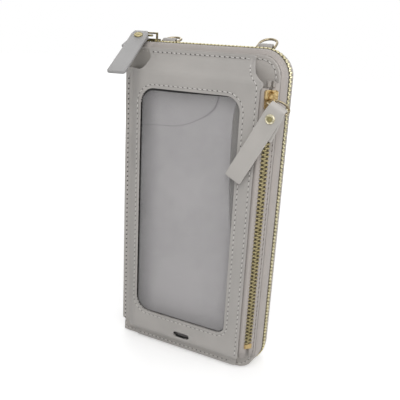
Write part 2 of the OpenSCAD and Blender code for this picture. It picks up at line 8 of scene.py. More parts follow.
import bmesh
import bpy
from mathutils import Matrix, Vector
from mathutils.geometry import delaunay_2d_cdt


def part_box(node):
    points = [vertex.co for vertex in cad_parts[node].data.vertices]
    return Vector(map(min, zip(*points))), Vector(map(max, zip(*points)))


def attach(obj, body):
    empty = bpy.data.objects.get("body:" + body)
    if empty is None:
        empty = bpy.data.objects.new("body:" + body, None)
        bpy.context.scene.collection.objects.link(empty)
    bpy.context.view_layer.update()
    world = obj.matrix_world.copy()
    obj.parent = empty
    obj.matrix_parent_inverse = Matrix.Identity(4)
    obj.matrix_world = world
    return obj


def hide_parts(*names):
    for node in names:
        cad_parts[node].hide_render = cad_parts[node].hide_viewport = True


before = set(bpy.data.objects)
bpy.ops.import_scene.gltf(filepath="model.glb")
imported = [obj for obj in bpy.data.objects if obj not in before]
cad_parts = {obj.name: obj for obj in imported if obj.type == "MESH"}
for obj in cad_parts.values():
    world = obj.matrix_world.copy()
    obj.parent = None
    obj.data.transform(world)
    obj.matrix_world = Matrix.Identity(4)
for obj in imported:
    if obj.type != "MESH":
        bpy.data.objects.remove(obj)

LOG = logging.getLogger("pouch")
MM = 0.001

Point2 = tuple[float, float]
Point3 = tuple[float, float, float]
Ring = Sequence[Sequence[float]]
Place = Callable[[float, float], Point3]


class Body(Enum):
    """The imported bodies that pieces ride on."""

    FRONT = "front_half"
    BACK = "back_half"
    MAIN_STRAP = "main_strap_body"
    POCKET_STRAP = "pocket_strap_body"


class Side(Enum):
    """The two halves of the pouch, by the sign of their y."""

    FRONT = -1
    BACK = 1

    @property
    def label(self) -> str:
        """The half's name at the start of its pieces' names."""
        return self.name.lower()

    @property
    def body(self) -> Body:
        """The body that the half's pieces ride on."""
        return Body[self.name]


def millimetres(node: str) -> tuple[Vector, Vector]:
    """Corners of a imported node's box in millimetres."""
    low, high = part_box(node)
    return Vector(low) / MM, Vector(high) / MM


@dataclass(frozen=True)
class Sizes:
    """Sizes of the pouch in millimetres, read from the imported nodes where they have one.

    Attributes:
        half_w: Half the width of the covers.
        height: Height of the covers.
        half_t: Half the depth of the closed body.
        pocket_y: Depth of the panel's outer face.
        cover_t: Thickness of a cover.
        corner_r: Radius of the covers' corners.
        spine_r: Radius of the fold at the spine.
        panel_t: Thickness of the panel's leather.
    """

    half_w: float
    height: float
    half_t: float
    pocket_y: float
    cover_t: float = 1.6
    corner_r: float = 11.0
    spine_r: float = 1.9
    panel_t: float = 1.4

    @classmethod
    def from_frame(cls) -> "Sizes":
        """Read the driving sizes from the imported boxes."""
        low, high = millimetres("front_cover")
        return cls(high.x, high.z, -low.y, millimetres("window_panel")[0].y)


SIZES = Sizes.from_frame()


def in_metres(points: Ring) -> list[Point3]:
    """Points in metres from points in millimetres."""
    return [(p[0] * MM, p[1] * MM, p[2] * MM) for p in points]


def new_object(name: str, verts: Ring, faces: Sequence[Sequence[int]], smooth: bool = True,
               turned_out: bool = True) -> bpy.types.Object:
    """Make a mesh object.

    Args:
        name: Name of the object.
        verts: Points in metres.
        faces: Lists of point numbers.
        smooth: Whether its faces are shaded smooth.
        turned_out: Whether its faces are turned to the outside. A sheet keeps its own
            side and only loses the points that no face uses.

    Returns:
        The object, linked to the scene.
    """
    mesh = bpy.data.meshes.new(name)
    mesh.from_pydata(verts, [], [list(f) for f in faces])
    made = bmesh.new()
    made.from_mesh(mesh)
    if turned_out:
        bmesh.ops.recalc_face_normals(made, faces=made.faces)
    else:
        bmesh.ops.delete(made, geom=[v for v in made.verts if not v.link_faces], context="VERTS")
    made.to_mesh(mesh)
    made.free()
    for polygon in mesh.polygons:
        polygon.use_smooth = smooth
    obj = bpy.data.objects.new(name, mesh)
    bpy.context.scene.collection.objects.link(obj)
    return obj


def soften(obj: bpy.types.Object, width: float, segments: int = 2, angle: float = 50.0) -> None:
    """Round an object's sharp edges with a bevel.

    Args:
        obj: The object.
        width: Width of the bevel in millimetres.
        segments: Number of its steps.
        angle: Least angle in degrees that counts as sharp.
    """
    bevel = obj.modifiers.new("edge", "BEVEL")
    bevel.width = width * MM
    bevel.segments = segments
    bevel.limit_method = "ANGLE"
    bevel.angle_limit = math.radians(angle)
    bevel.harden_normals = False


def skin_faces(m: int, n: int, capped: bool = True, first: int = 0) -> list[tuple[int, ...]]:
    """Faces that join closed rings of points.

    Args:
        m: Number of points of each ring.
        n: Number of rings.
        capped: Whether the first and the last ring are closed by a face.
        first: Number of the first ring's first point.

    Returns:
        The faces as lists of point numbers.
    """
    rows = [[first + i * m + j for j in range(m)] for i in range(n)]
    faces = [(a[j], a[(j + 1) % m], b[(j + 1) % m], b[j]) for a, b in zip(rows, rows[1:]) for j in range(m)]
    return faces + [tuple(rows[0]), tuple(rows[-1])] if capped else faces


def loft(name: str, rings: Sequence[Ring], capped: bool = True, smooth: bool = True) -> bpy.types.Object:
    """Join closed rings with the same number of points into one skin.

    Args:
        name: Name of the object.
        rings: The rings in order, in millimetres.
        capped: Whether the first and the last ring are closed by a face.
        smooth: Whether its faces are shaded smooth.

    Returns:
        The object.
    """
    faces = skin_faces(len(rings[0]), len(rings), capped)
    return new_object(name, in_metres([p for ring in rings for p in ring]), faces, smooth)


def heading(line: Sequence[Vector], i: int) -> Vector:
    """Direction of a line at one of its points."""
    return (line[min(i + 1, len(line) - 1)] - line[max(i - 1, 0)]).normalized()


def arc(centre: Point2, radius: float, start: float, end: float, steps: int) -> list[Point2]:
    """Points of an arc in the plane.

    Args:
        centre: Its middle.
        radius: Its radius.
        start: First angle in degrees.
        end: Last angle in degrees.
        steps: Number of steps between them.

    Returns:
        steps + 1 points.
    """
    angles = [math.radians(start + (end - start) * i / steps) for i in range(steps + 1)]
    return [(centre[0] + radius * math.cos(a), centre[1] + radius * math.sin(a)) for a in angles]


def rounded(corners: Sequence[tuple[float, float, float]], steps: int = 8) -> list[Point2]:
    """A closed outline with its corners rounded, each by its own radius.

    Args:
        corners: Corners in order as (x, z, radius).
        steps: Steps of each arc.

    Returns:
        The outline's points.
    """
    points: list[Point2] = []
    for i, (x, z, radius) in enumerate(corners):
        here = Vector((x, z))
        before = (Vector(corners[i - 1][:2]) - here).normalized()
        after = (Vector(corners[(i + 1) % len(corners)][:2]) - here).normalized()
        if radius <= 0:
            points.append((x, z))
            continue
        half = before.angle(after) / 2
        reach = radius / math.tan(half)
        centre = here + (before + after).normalized() * radius / math.sin(half)
        first = here + before * reach - centre
        turn = first.angle_signed(here + after * reach - centre)
        for j in range(steps + 1):
            spun = first.copy()
            spun.rotate(Matrix.Rotation(-turn * j / steps, 2))
            points.append((centre.x + spun.x, centre.y + spun.y))
    return points


def rounded_box(x0: float, z0: float, x1: float, z1: float, radius: float, steps: int = 8) -> list[Point2]:
    """A rectangle's outline with four equal round corners."""
    return rounded([(x0, z0, radius), (x1, z0, radius), (x1, z1, radius), (x0, z1, radius)], steps)


def resampled(points: Ring, step: float, closed: bool = False) -> list[Vector]:
    """Points at even steps along a line.

    Args:
        points: The line's points, in two or three dimensions.
        step: About how far apart the new points are.
        closed: Whether the line returns to its start.

    Returns:
        The new points, with the last one on the line's end unless it is closed.
    """
    line = [Vector(p) for p in points] + ([Vector(points[0])] if closed else [])
    lengths = [0.0]
    for a, b in zip(line, line[1:]):
        lengths.append(lengths[-1] + (b - a).length)
    count = max(2, round(lengths[-1] / step))
    made: list[Vector] = []
    at = 0
    for i in range(count + (0 if closed else 1)):
        goal = lengths[-1] * i / count
        while at < len(line) - 2 and lengths[at + 1] < goal:
            at += 1
        span = lengths[at + 1] - lengths[at]
        made.append(line[at].lerp(line[at + 1], (goal - lengths[at]) / span if span else 0.0))
    return made


def inset(outline: Ring, depth: float) -> list[Point2]:
    """A closed outline moved towards its inside.

    Args:
        outline: Points in order.
        depth: Distance; less than nothing moves it out.

    Returns:
        As many points as the outline has.
    """
    sharpest = 0.4
    points = [Vector(p[:2]) for p in outline]
    area = sum(a.x * b.y - b.x * a.y for a, b in zip(points, points[1:] + points[:1]))
    sign = 1.0 if area > 0 else -1.0
    moved: list[Point2] = []
    for i, here in enumerate(points):
        u = (here - points[i - 1]).normalized()
        v = (points[(i + 1) % len(points)] - here).normalized()
        normal = Vector((-u.y - v.y, u.x + v.x)) * sign
        normal.normalize()
        across = Vector((-u.y, u.x)) * sign
        shift = depth / max(sharpest, normal.dot(across))
        moved.append((here.x + normal.x * shift, here.y + normal.y * shift))
    return moved


def inside(outline: Ring, x: float, z: float) -> bool:
    """Whether a point lies inside a closed outline.

    Args:
        outline: Points in order.
        x: The point's place across.
        z: Its height.

    Returns:
        True where it does.
    """
    found = False
    for a, b in zip(outline, list(outline[1:]) + [outline[0]]):
        if (a[1] > z) != (b[1] > z) and x < (b[0] - a[0]) * (z - a[1]) / (b[1] - a[1]) + a[0]:
            found = not found
    return found


def on_sheet(loops: Sequence[Ring], x: float, z: float) -> bool:
    """Whether a point lies in the first outline and in none of its holes, the others."""
    return inside(loops[0], x, z) and not any(inside(hole, x, z) for hole in loops[1:])


def at_depth(y: float) -> Place:
    """Rule that lays a sheet flat at one depth."""
    return lambda x, z: (x, y, z)


def leather_sheet(name: str, outline: Sequence[Point2], holes: Sequence[Sequence[Point2]],
                  place: Place, thickness: float, grid: float, seams: Sequence[float] = (),
                  dip: float = 0.0, edge: float = 0.4) -> bpy.types.Object:
    """Cut a sheet from an outline, bend it by a rule and give it thickness and a soft edge.

    Args:
        name: Name of the object.
        outline: The cut outline in the sheet's own plane.
        holes: Outlines of its holes.
        place: Rule from a point of the sheet to its place in space, in millimetres.
        thickness: Thickness, laid on the side that the faces turn away from.
        grid: Spacing of the inner points.
        seams: Distances from the cut edges at which points follow a sewn line.
        dip: How deep the second of those lines is drawn in.
        edge: Width of the rounded edge.

    Returns:
        The object.
    """
    edge_step, probe = grid * 0.6, 0.2
    loops = [[tuple(p) for p in resampled(loop, edge_step, True)] for loop in (outline, *holes)]

    def moved(depth: float) -> list[list[Point2]]:
        """The loops moved into the leather."""
        return [inset(loop, depth if i == 0 else -depth) for i, loop in enumerate(loops)]

    points: list[Point2] = []
    edges: list[tuple[int, int]] = []
    for loop in loops:
        first, count = len(points), len(loop)
        points += loop
        edges += [(first + i, first + (i + 1) % count) for i in range(count)]
    sewn = range(0)
    for number, depth in enumerate(seams):
        first = len(points)
        for loop in moved(depth):
            points += loop
        if number == 1:
            sewn = range(first, len(points))
    inner = moved(max(seams, default=0.0) + grid * 0.5)
    low = [min(p[k] for p in loops[0]) for k in (0, 1)]
    counts = [int((max(p[k] for p in loops[0]) - low[k]) / grid) + 1 for k in (0, 1)]
    for i in range(counts[0]):
        for j in range(counts[1]):
            x, z = low[0] + i * grid, low[1] + j * grid
            if on_sheet(inner, x, z):
                points.append((x, z))
    verts, _, found, sources = delaunay_2d_cdt([Vector(p) for p in points], edges, [], 0, 1e-4)[:4]
    faces = [f for f in found if on_sheet(loops, sum(verts[i].x for i in f) / len(f),
                                          sum(verts[i].y for i in f) / len(f))]
    placed: list[Vector] = []
    for v, source in zip(verts, sources):
        at = Vector(place(v.x, v.y))
        if dip and source and source[0] in sewn:
            along_x = Vector(place(v.x + probe, v.y)) - at
            along_z = Vector(place(v.x, v.y + probe)) - at
            at += along_x.cross(along_z).normalized() * -dip
        placed.append(at)
    obj = new_object(name, [p * MM for p in placed], faces, turned_out=False)
    solid = obj.modifiers.new("thickness", "SOLIDIFY")
    solid.thickness = thickness * MM
    solid.offset = -1.0
    solid.use_quality_normals = True
    soften(obj, edge)
    return obj


Tree = bpy.types.NodeTree
Node = bpy.types.Node
Socket = bpy.types.NodeSocket
Material = bpy.types.Material
Tone = tuple[float, float, float]


def rgba(tone: Tone, factor: float = 1.0) -> tuple[float, float, float, float]:
    """An opaque colour from a tone, lightened or darkened by a factor."""
    return (*(min(1.0, c * factor) for c in tone), 1.0)


def feed(tree: Tree, node: Node, values: dict[int | str, object]) -> Node:
    """Set a node's inputs to numbers and colours, or link them to the sockets given.

    Args:
        tree: The node's tree.
        node: The node.
        values: Number, colour or socket for each input, by its name or place.

    Returns:
        The node.
    """
    for key, value in values.items():
        if isinstance(value, bpy.types.NodeSocket):
            tree.links.new(value, node.inputs[key])
        else:
            node.inputs[key].default_value = value
    return node


def node_group(name: str, inputs: dict[str, float], outputs: Sequence[str]) -> tuple[Tree, Node, Node]:
    """Start a shader node group of numbers.

    Args:
        name: Name of the group.
        inputs: Default of each input.
        outputs: Names of the outputs.

    Returns:
        The tree, its input node and its output node.
    """
    tree = bpy.data.node_groups.new(name, "ShaderNodeTree")
    for label, default in inputs.items():
        socket = tree.interface.new_socket(label, in_out="INPUT", socket_type="NodeSocketFloat")
        socket.default_value = default
    for label in outputs:
        tree.interface.new_socket(label, in_out="OUTPUT", socket_type="NodeSocketFloat")
    return tree, tree.nodes.new("NodeGroupInput"), tree.nodes.new("NodeGroupOutput")


def math_node(tree: Tree, operation: str, *values: object) -> Socket:
    """A Math node on sockets or numbers, giving its result.

    Args:
        tree: Tree that the node joins.
        operation: What it works out.
        values: Its sockets or numbers in order.

    Returns:
        The result's socket.
    """
    node = tree.nodes.new("ShaderNodeMath")
    node.operation = operation
    return feed(tree, node, dict(enumerate(values))).outputs[0]


def ramp(tree: Tree, value: Socket, low: float, high: float) -> Socket:
    """A smooth step of a value between two levels.

    Args:
        tree: Tree that the node joins.
        value: The value.
        low: Level that gives 0.
        high: Level that gives 1.

    Returns:
        The step's socket.
    """
    node = tree.nodes.new("ShaderNodeMapRange")
    node.interpolation_type = "SMOOTHSTEP"
    return feed(tree, node, {"From Min": low, "From Max": high, "Value": value}).outputs["Result"]


def mixed(tree: Tree, factor: Socket, a: object, b: object) -> Socket:
    """A colour between two colours or colour sockets.

    Args:
        tree: Tree that the node joins.
        factor: Share of the second colour.
        a: The first colour.
        b: The second colour.

    Returns:
        The colour's socket.
    """
    node = tree.nodes.new("ShaderNodeMix")
    node.data_type = "RGBA"
    return feed(tree, node, {0: factor, 6: a, 7: b}).outputs[2]


def object_place(tree: Tree) -> Socket:
    """Place on the piece, in its own space."""
    return tree.nodes.new("ShaderNodeTexCoord").outputs["Object"]


def noise(tree: Tree, scale: float, place: Socket, detail: float = 3.0) -> Socket:
    """Noise at a place, from 0 to 1."""
    node = tree.nodes.new("ShaderNodeTexNoise")
    return feed(tree, node, {"Scale": scale, "Vector": place, "Detail": detail}).outputs["Fac"]


def part_of(tree: Tree, place: Socket, axis: str) -> Socket:
    """One coordinate of a place."""
    return feed(tree, tree.nodes.new("ShaderNodeSeparateXYZ"), {0: place}).outputs[axis]


def distance(tree: Tree, place: Socket, centre: Point3) -> Socket:
    """Distance of a place from a centre.

    Args:
        tree: Tree that the node joins.
        place: The place.
        centre: The centre in metres.

    Returns:
        The distance's socket.
    """
    node = tree.nodes.new("ShaderNodeVectorMath")
    node.operation = "DISTANCE"
    return feed(tree, node, {0: place, 1: centre}).outputs["Value"]


class Effects:
    """Shader groups that several finishes share, each built once."""

    def __init__(self) -> None:
        """Build the groups."""
        self.grain = self._grain()
        self.weave = self._weave()
        self.wear = self._wear()

    def _grain(self) -> Tree:
        """Leather's fine pebbling, its slow change of tone and its uneven gloss."""
        tree, start, end = node_group("leather_grain", {"Scale": 1500.0}, ("Height", "Tone", "Gloss"))
        place = object_place(tree)
        cells = feed(tree, tree.nodes.new("ShaderNodeTexVoronoi"),
                     {"Scale": start.outputs["Scale"], "Vector": place, "Detail": 2.0})
        creases = math_node(tree, "MULTIPLY", noise(tree, 420.0, place, 4.0), 0.8)
        height = math_node(tree, "MULTIPLY_ADD", cells.outputs["Distance"], 0.7, creases)
        tone = ramp(tree, noise(tree, 38.0, place), 0.3, 0.7)
        feed(tree, end, {"Height": height, "Tone": tone, "Gloss": noise(tree, 160.0, place)})
        return tree

    def _weave(self) -> Tree:
        """Crossed threads of a woven tape or lining."""
        tree, start, end = node_group("thread_weave", {"Scale": 1400.0}, ("Height", "Tone"))
        place = object_place(tree)
        waves = []
        for direction in ("X", "Y", "Z"):
            wave = tree.nodes.new("ShaderNodeTexWave")
            wave.bands_direction = direction
            feed(tree, wave, {"Distortion": 0.3, "Vector": place, "Scale": start.outputs["Scale"]})
            waves.append(wave.outputs["Fac"])
        total = math_node(tree, "ADD", math_node(tree, "ADD", waves[0], waves[1]), waves[2])
        feed(tree, end, {"Height": math_node(tree, "MULTIPLY", total, 0.33),
                         "Tone": noise(tree, 90.0, place, 4.0)})
        return tree

    def _wear(self) -> Tree:
        """Mask of edges and rims, where a surface is rubbed lighter."""
        tree, start, end = node_group("edge_rub", {"Amount": 1.0}, ("Mask",))
        pointiness = tree.nodes.new("ShaderNodeNewGeometry").outputs["Pointiness"]
        broken = ramp(tree, noise(tree, 300.0, object_place(tree)), 0.25, 0.6)
        kept = math_node(tree, "MULTIPLY", ramp(tree, pointiness, 0.52, 0.62), broken)
        feed(tree, end, {"Mask": math_node(tree, "MULTIPLY", kept, start.outputs["Amount"])})
        return tree


def placed_group(tree: Tree, group: Tree, **values: float) -> Node:
    """Put a shared group into a material with its own values.

    Args:
        tree: The material's tree.
        group: The group.
        values: Value of each input.

    Returns:
        The group's node.
    """
    node = tree.nodes.new("ShaderNodeGroup")
    node.node_tree = group
    return feed(tree, node, values)


def bumped(tree: Tree, shader: Node, height: Socket, strength: float, depth: float = 0.0002) -> None:
    """Feed a height into a shader's normal through a Bump node.

    Args:
        tree: The material's tree.
        shader: The shader.
        height: The height.
        strength: Strength of the bump.
        depth: Height in metres that 1 stands for.
    """
    bump = feed(tree, tree.nodes.new("ShaderNodeBump"),
                {"Strength": strength, "Distance": depth, "Height": height})
    tree.links.new(bump.outputs["Normal"], shader.inputs["Normal"])


@dataclass(frozen=True)
class Finish:
    """What every finish has.

    Attributes:
        name: Name of the material.
        light: Its lighter or cleaner tone.
        deep: Its deeper tone, in the hollows.
    """

    name: str
    light: Tone
    deep: Tone

    def surface(self, tree: Tree, shader: Node, effects: Effects) -> None:
        """Draw the surface, each kind of finish in its own way.

        Args:
            tree: The material's tree.
            shader: Its Principled shader.
            effects: The shared groups.
        """
        raise NotImplementedError

    def build(self, effects: Effects) -> Material:
        """Make the material with its Principled shader.

        Args:
            effects: The shared groups.

        Returns:
            The material.
        """
        material = bpy.data.materials.new(self.name)
        material.use_nodes = True
        tree = material.node_tree
        self.surface(tree, tree.nodes["Principled BSDF"], effects)
        return material


@dataclass(frozen=True)
class LeatherFinish(Finish):
    """Fine-grained soft leather.

    Attributes:
        rough: Middle roughness.
        bump: Strength of the grain.
        wear: Strength of the rubbed edges.
        rub: How much lighter they are.
    """

    rough: float = 0.48
    bump: float = 0.22
    wear: float = 0.35
    rub: float = 1.18

    def surface(self, tree: Tree, shader: Node, effects: Effects) -> None:
        """Draw the surface, as Finish.surface asks."""
        grain = placed_group(tree, effects.grain, Scale=1500.0)
        wear = placed_group(tree, effects.wear, Amount=self.wear)
        base = mixed(tree, grain.outputs["Tone"], rgba(self.deep), rgba(self.light))
        rubbed = mixed(tree, wear.outputs["Mask"], base, rgba(self.light, self.rub))
        gloss = math_node(tree, "MULTIPLY_ADD", grain.outputs["Gloss"], 0.2, self.rough - 0.1)
        feed(tree, shader, {"Base Color": rubbed, "Roughness": gloss})
        shader.inputs["Specular IOR Level"].default_value = 0.45
        bumped(tree, shader, grain.outputs["Height"], self.bump)


@dataclass(frozen=True)
class ClothFinish(Finish):
    """Woven tape or lining cloth.

    Attributes:
        scale: Scale of the weave.
        rough: Roughness.
        bump: Strength of the weave.
        shade: Where painted shade on the left edge starts and ends in metres, where there is one.
        shade_tone: How dark that painted shade is.
    """

    scale: float = 1400.0
    rough: float = 0.75
    bump: float = 0.25
    shade: tuple[float, float] | None = None
    shade_tone: float = 0.55

    def surface(self, tree: Tree, shader: Node, effects: Effects) -> None:
        """Draw the surface, as Finish.surface asks."""
        weave = placed_group(tree, effects.weave, Scale=self.scale)
        cloud = math_node(tree, "MULTIPLY", weave.outputs["Tone"], 0.5)
        tone = math_node(tree, "MULTIPLY_ADD", weave.outputs["Height"], 0.6, cloud)
        woven = mixed(tree, tone, rgba(self.deep), rgba(self.light))
        if self.shade is not None:
            # Painted shade, darker towards the left edge.
            clear = ramp(tree, part_of(tree, object_place(tree), "X"), *self.shade)
            woven = mixed(tree, clear, rgba(self.deep, self.shade_tone), woven)
        feed(tree, shader, {"Base Color": woven})
        shader.inputs["Roughness"].default_value = self.rough
        shader.inputs["Sheen Weight"].default_value = 0.15
        shader.inputs["Specular IOR Level"].default_value = 0.3
        bumped(tree, shader, weave.outputs["Height"], self.bump)


@dataclass(frozen=True)
class MetalFinish(Finish):
    """Plated metal with light scuffs.

    Attributes:
        rough: Least roughness.
        shaded_centre: Painted shade over a round middle, leaving its rim lit, as the middle in metres and
            its radius, where there is one.
        scuffs: Levels of the noise between which the scuffs fade in.
        wear: Strength of the polished edges.
    """

    rough: float = 0.22
    shaded_centre: tuple[Point3, float] | None = None
    scuffs: tuple[float, float] = (0.35, 0.7)
    wear: float = 0.5

    def surface(self, tree: Tree, shader: Node, effects: Effects) -> None:
        """Draw the surface, as Finish.surface asks."""
        place = object_place(tree)
        scuff = noise(tree, 900.0, place, 4.0)
        wear = placed_group(tree, effects.wear, Amount=self.wear)
        base = mixed(tree, ramp(tree, scuff, *self.scuffs), rgba(self.light), rgba(self.deep))
        plated = mixed(tree, wear.outputs["Mask"], base, rgba(self.light))
        # Painted shade over the round middle, so that only the rim looks lit.
        if self.shaded_centre is not None:
            centre, radius = self.shaded_centre
            rim = ramp(tree, distance(tree, place, centre), radius * 0.85, radius)
            plated = mixed(tree, rim, rgba(self.deep), plated)
        rough = math_node(tree, "MULTIPLY_ADD", scuff, 0.2, self.rough)
        feed(tree, shader, {"Base Color": plated, "Roughness": rough})
        shader.inputs["Metallic"].default_value = 1.0
        bumped(tree, shader, scuff, 0.06, 0.0001)


@dataclass(frozen=True)
class ThreadFinish(Finish):
    """Twisted sewing thread, and the fine even look of paint and of needle holes."""

    def surface(self, tree: Tree, shader: Node, effects: Effects) -> None:
        """Draw the surface, as Finish.surface asks."""
        weave = placed_group(tree, effects.weave, Scale=3200.0)
        ply = mixed(tree, weave.outputs["Height"], rgba(self.deep), rgba(self.light))
        feed(tree, shader, {"Base Color": ply})
        shader.inputs["Roughness"].default_value = 0.6
        bumped(tree, shader, weave.outputs["Height"], 0.3, 0.0001)


@dataclass(frozen=True)
class FilmFinish(Finish):
    """Clear soft film with a faint haze, slow ripples and fine creases at the top.

    Attributes:
        haze: Share of the surface that the haze covers.
        clouds: What the ripples add to the haze.
        creased: Heights in metres between which the creases fade in.
        crease_half: Half the width of a crease, in levels of its noise.
        crease_haze: What a crease adds to the haze.
    """

    haze: float = 0.16
    clouds: float = 0.12
    creased: tuple[float, float] = (0.128, 0.160)
    crease_half: float = 0.006
    crease_haze: float = 0.10

    def surface(self, tree: Tree, shader: Node, effects: Effects) -> None:
        """Draw the surface, as Finish.surface asks."""
        place = object_place(tree)
        ripple = noise(tree, 26.0, place, 2.0)
        fold = noise(tree, 17.0, place, 0.4)
        off = math_node(tree, "ABSOLUTE", math_node(tree, "SUBTRACT", fold, 0.5))
        near_top = ramp(tree, part_of(tree, place, "Z"), *self.creased)
        crease = math_node(tree, "MULTIPLY", ramp(tree, off, self.crease_half, 0.0), near_top)
        clear = math_node(tree, "MULTIPLY_ADD", ramp(tree, ripple, 0.35, 0.7), self.clouds, self.haze)
        alpha = math_node(tree, "MULTIPLY_ADD", crease, self.crease_haze, clear)
        tint = mixed(tree, crease, rgba(self.light), rgba(self.deep))
        feed(tree, shader, {"Base Color": tint, "Alpha": alpha})
        shader.inputs["Roughness"].default_value = 0.12
        bumped(tree, shader, ripple, 0.15, 0.002)


@dataclass(frozen=True)
class FloorFinish(Finish):
    """Plain pale floor that the camera sees a little brighter further out."""

    def surface(self, tree: Tree, shader: Node, effects: Effects) -> None:
        """Draw the surface, as Finish.surface asks."""
        shader.inputs["Base Color"].default_value = (0.86, 0.86, 0.86, 1)
        shader.inputs["Roughness"].default_value = 0.9
        shader.inputs["Specular IOR Level"].default_value = 0.0
        path = tree.nodes.new("ShaderNodeLightPath")
        place = object_place(tree)
        edge = ramp(tree, distance(tree, place, (0, 0, 0)), 0.25, 0.9)
        far = math_node(tree, "MULTIPLY_ADD", edge, 0.45, 0.38)
        glow = math_node(tree, "MULTIPLY", path.outputs["Is Camera Ray"], far)
        tint = mixed(tree, noise(tree, 2.0, place, 1.0), rgba(self.light), rgba(self.deep))
        feed(tree, shader, {"Emission Strength": glow, "Emission Color": tint})


def middle_and_reach(node: str) -> tuple[Vector, float]:
    """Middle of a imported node's points and the furthest point's distance from it, in metres.

    Args:
        node: Name of the node.

    Returns:
        The middle and the distance.
    """
    points = [v.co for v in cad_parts[node].data.vertices]
    middle = sum(points, Vector()) / len(points)
    return middle, max((p - middle).length for p in points)


class Finishes:
    """Every finish of the pouch, built once and handed out by name."""

    def __init__(self) -> None:
        """Build the shared effects and the materials."""
        effects = Effects()

        def maker(kind: type[Finish]) -> Callable[..., Material]:
            """Rule that makes materials of one kind."""
            return lambda *values: kind(*values).build(effects)

        leather, cloth, metal, thread = map(maker, (LeatherFinish, ClothFinish, MetalFinish, ThreadFinish))
        self.leather = leather("grey_leather", (0.450, 0.428, 0.405), (0.405, 0.386, 0.366))
        self.deep_leather = leather("cover_leather", (0.455, 0.428, 0.400), (0.405, 0.380, 0.356))
        self.strap = leather("strap_leather", (0.520, 0.495, 0.465), (0.470, 0.448, 0.422))
        self.main_strap = leather("main_pull_leather", (0.362, 0.355, 0.351), (0.324, 0.318, 0.315))
        # Dark leather tone for the band beside the pocket's lining: painted shade on the cover where the
        # window shows it.
        self.inner_leather = leather("inner_leather", (0.240, 0.224, 0.192), (0.205, 0.191, 0.162))
        # Darker leather tone for the top left notch: painted shade where the pull and the panel shade the
        # cover.
        self.shade_leather = leather("shade_leather", (0.350, 0.328, 0.300), (0.312, 0.292, 0.267))
        lining = ((0.622, 0.600, 0.604), (0.562, 0.542, 0.547), 2600.0, 0.6, 0.04)
        self.lining = cloth("lining_cloth", *lining)
        # The pocket's lining gets painted shade towards its left edge, under the panel's border.
        self.pocket_cloth = cloth("pocket_cloth", *lining, (-0.0355, -0.021))
        self.tape = cloth("zip_tape", (0.468, 0.430, 0.403), (0.370, 0.338, 0.316))
        # Near-black cloth for the strips under the zip teeth: painted shadow between the teeth.
        self.chain_edge = cloth("chain_edge", (0.110, 0.094, 0.066), (0.065, 0.055, 0.038))
        self.teeth = metal("teeth_metal", (0.86, 0.80, 0.54), (0.34, 0.29, 0.15), 0.24)
        self.pocket_teeth = metal("pocket_teeth_metal", (0.50, 0.43, 0.24), (0.19, 0.155, 0.075), 0.3)
        self.olive = metal("olive_metal", (0.30, 0.26, 0.14), (0.12, 0.10, 0.045), 0.2)
        self.gold = metal("slider_metal", (0.80, 0.60, 0.30), (0.28, 0.18, 0.07), 0.16)
        self.wire = metal("ring_metal", (0.42, 0.36, 0.25), (0.18, 0.15, 0.10), 0.2)
        self.dull_rivet = metal("dull_rivet_metal", (0.46, 0.40, 0.22), (0.28, 0.24, 0.12), 0.42)
        # The pocket rivet's middle gets painted shade and its rim stays light.
        middle, reach = middle_and_reach("pocket_pull_rivet")
        shaded_centre_share = 0.66
        self.rivet = metal("rivet_metal", (0.88, 0.82, 0.62), (0.34, 0.30, 0.15), 0.2,
                           (tuple(middle), reach * shaded_centre_share))
        self.thread = thread("pale_thread", (0.80, 0.78, 0.75), (0.54, 0.52, 0.50))
        self.dark_thread = thread("dark_thread", (0.16, 0.14, 0.13), (0.07, 0.06, 0.055))
        # Near-black discs for the needle holes: the holes are real, their darkness is painted shade.
        self.hole = thread("needle_hole", (0.06, 0.055, 0.05), (0.04, 0.035, 0.03))
        # Near-black for dark cut edges, also used as painted shadow on the window's rim and painted shade in
        # and behind the thumb slot.
        self.edge_paint = thread("edge_paint", (0.022, 0.021, 0.020), (0.012, 0.012, 0.011))
        self.stop = thread("stop_paint", (0.36, 0.335, 0.31), (0.32, 0.295, 0.27))
        self.film = maker(FilmFinish)("clear_film", (0.50, 0.49, 0.495), (0.175, 0.1715, 0.17325))
        self.floor = maker(FloorFinish)("floor_white", (1, 1, 1), (0.99, 0.99, 0.99))


def dress(obj: bpy.types.Object, material: Material, body: Body, slot: str, *replaced: str) -> None:
    """Give a piece its finish, its body and the nodes that it stands for.

    Args:
        obj: The piece.
        material: Its finish.
        body: The body that it rides on.
        slot: Not used.
        replaced: Nodes that it replaces.
    """
    obj.data.materials.clear()
    obj.data.materials.append(material)
    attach(obj, body.value)
    if replaced:
        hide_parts(*replaced)
    LOG.info("%s rides on %s", obj.name, body.value)


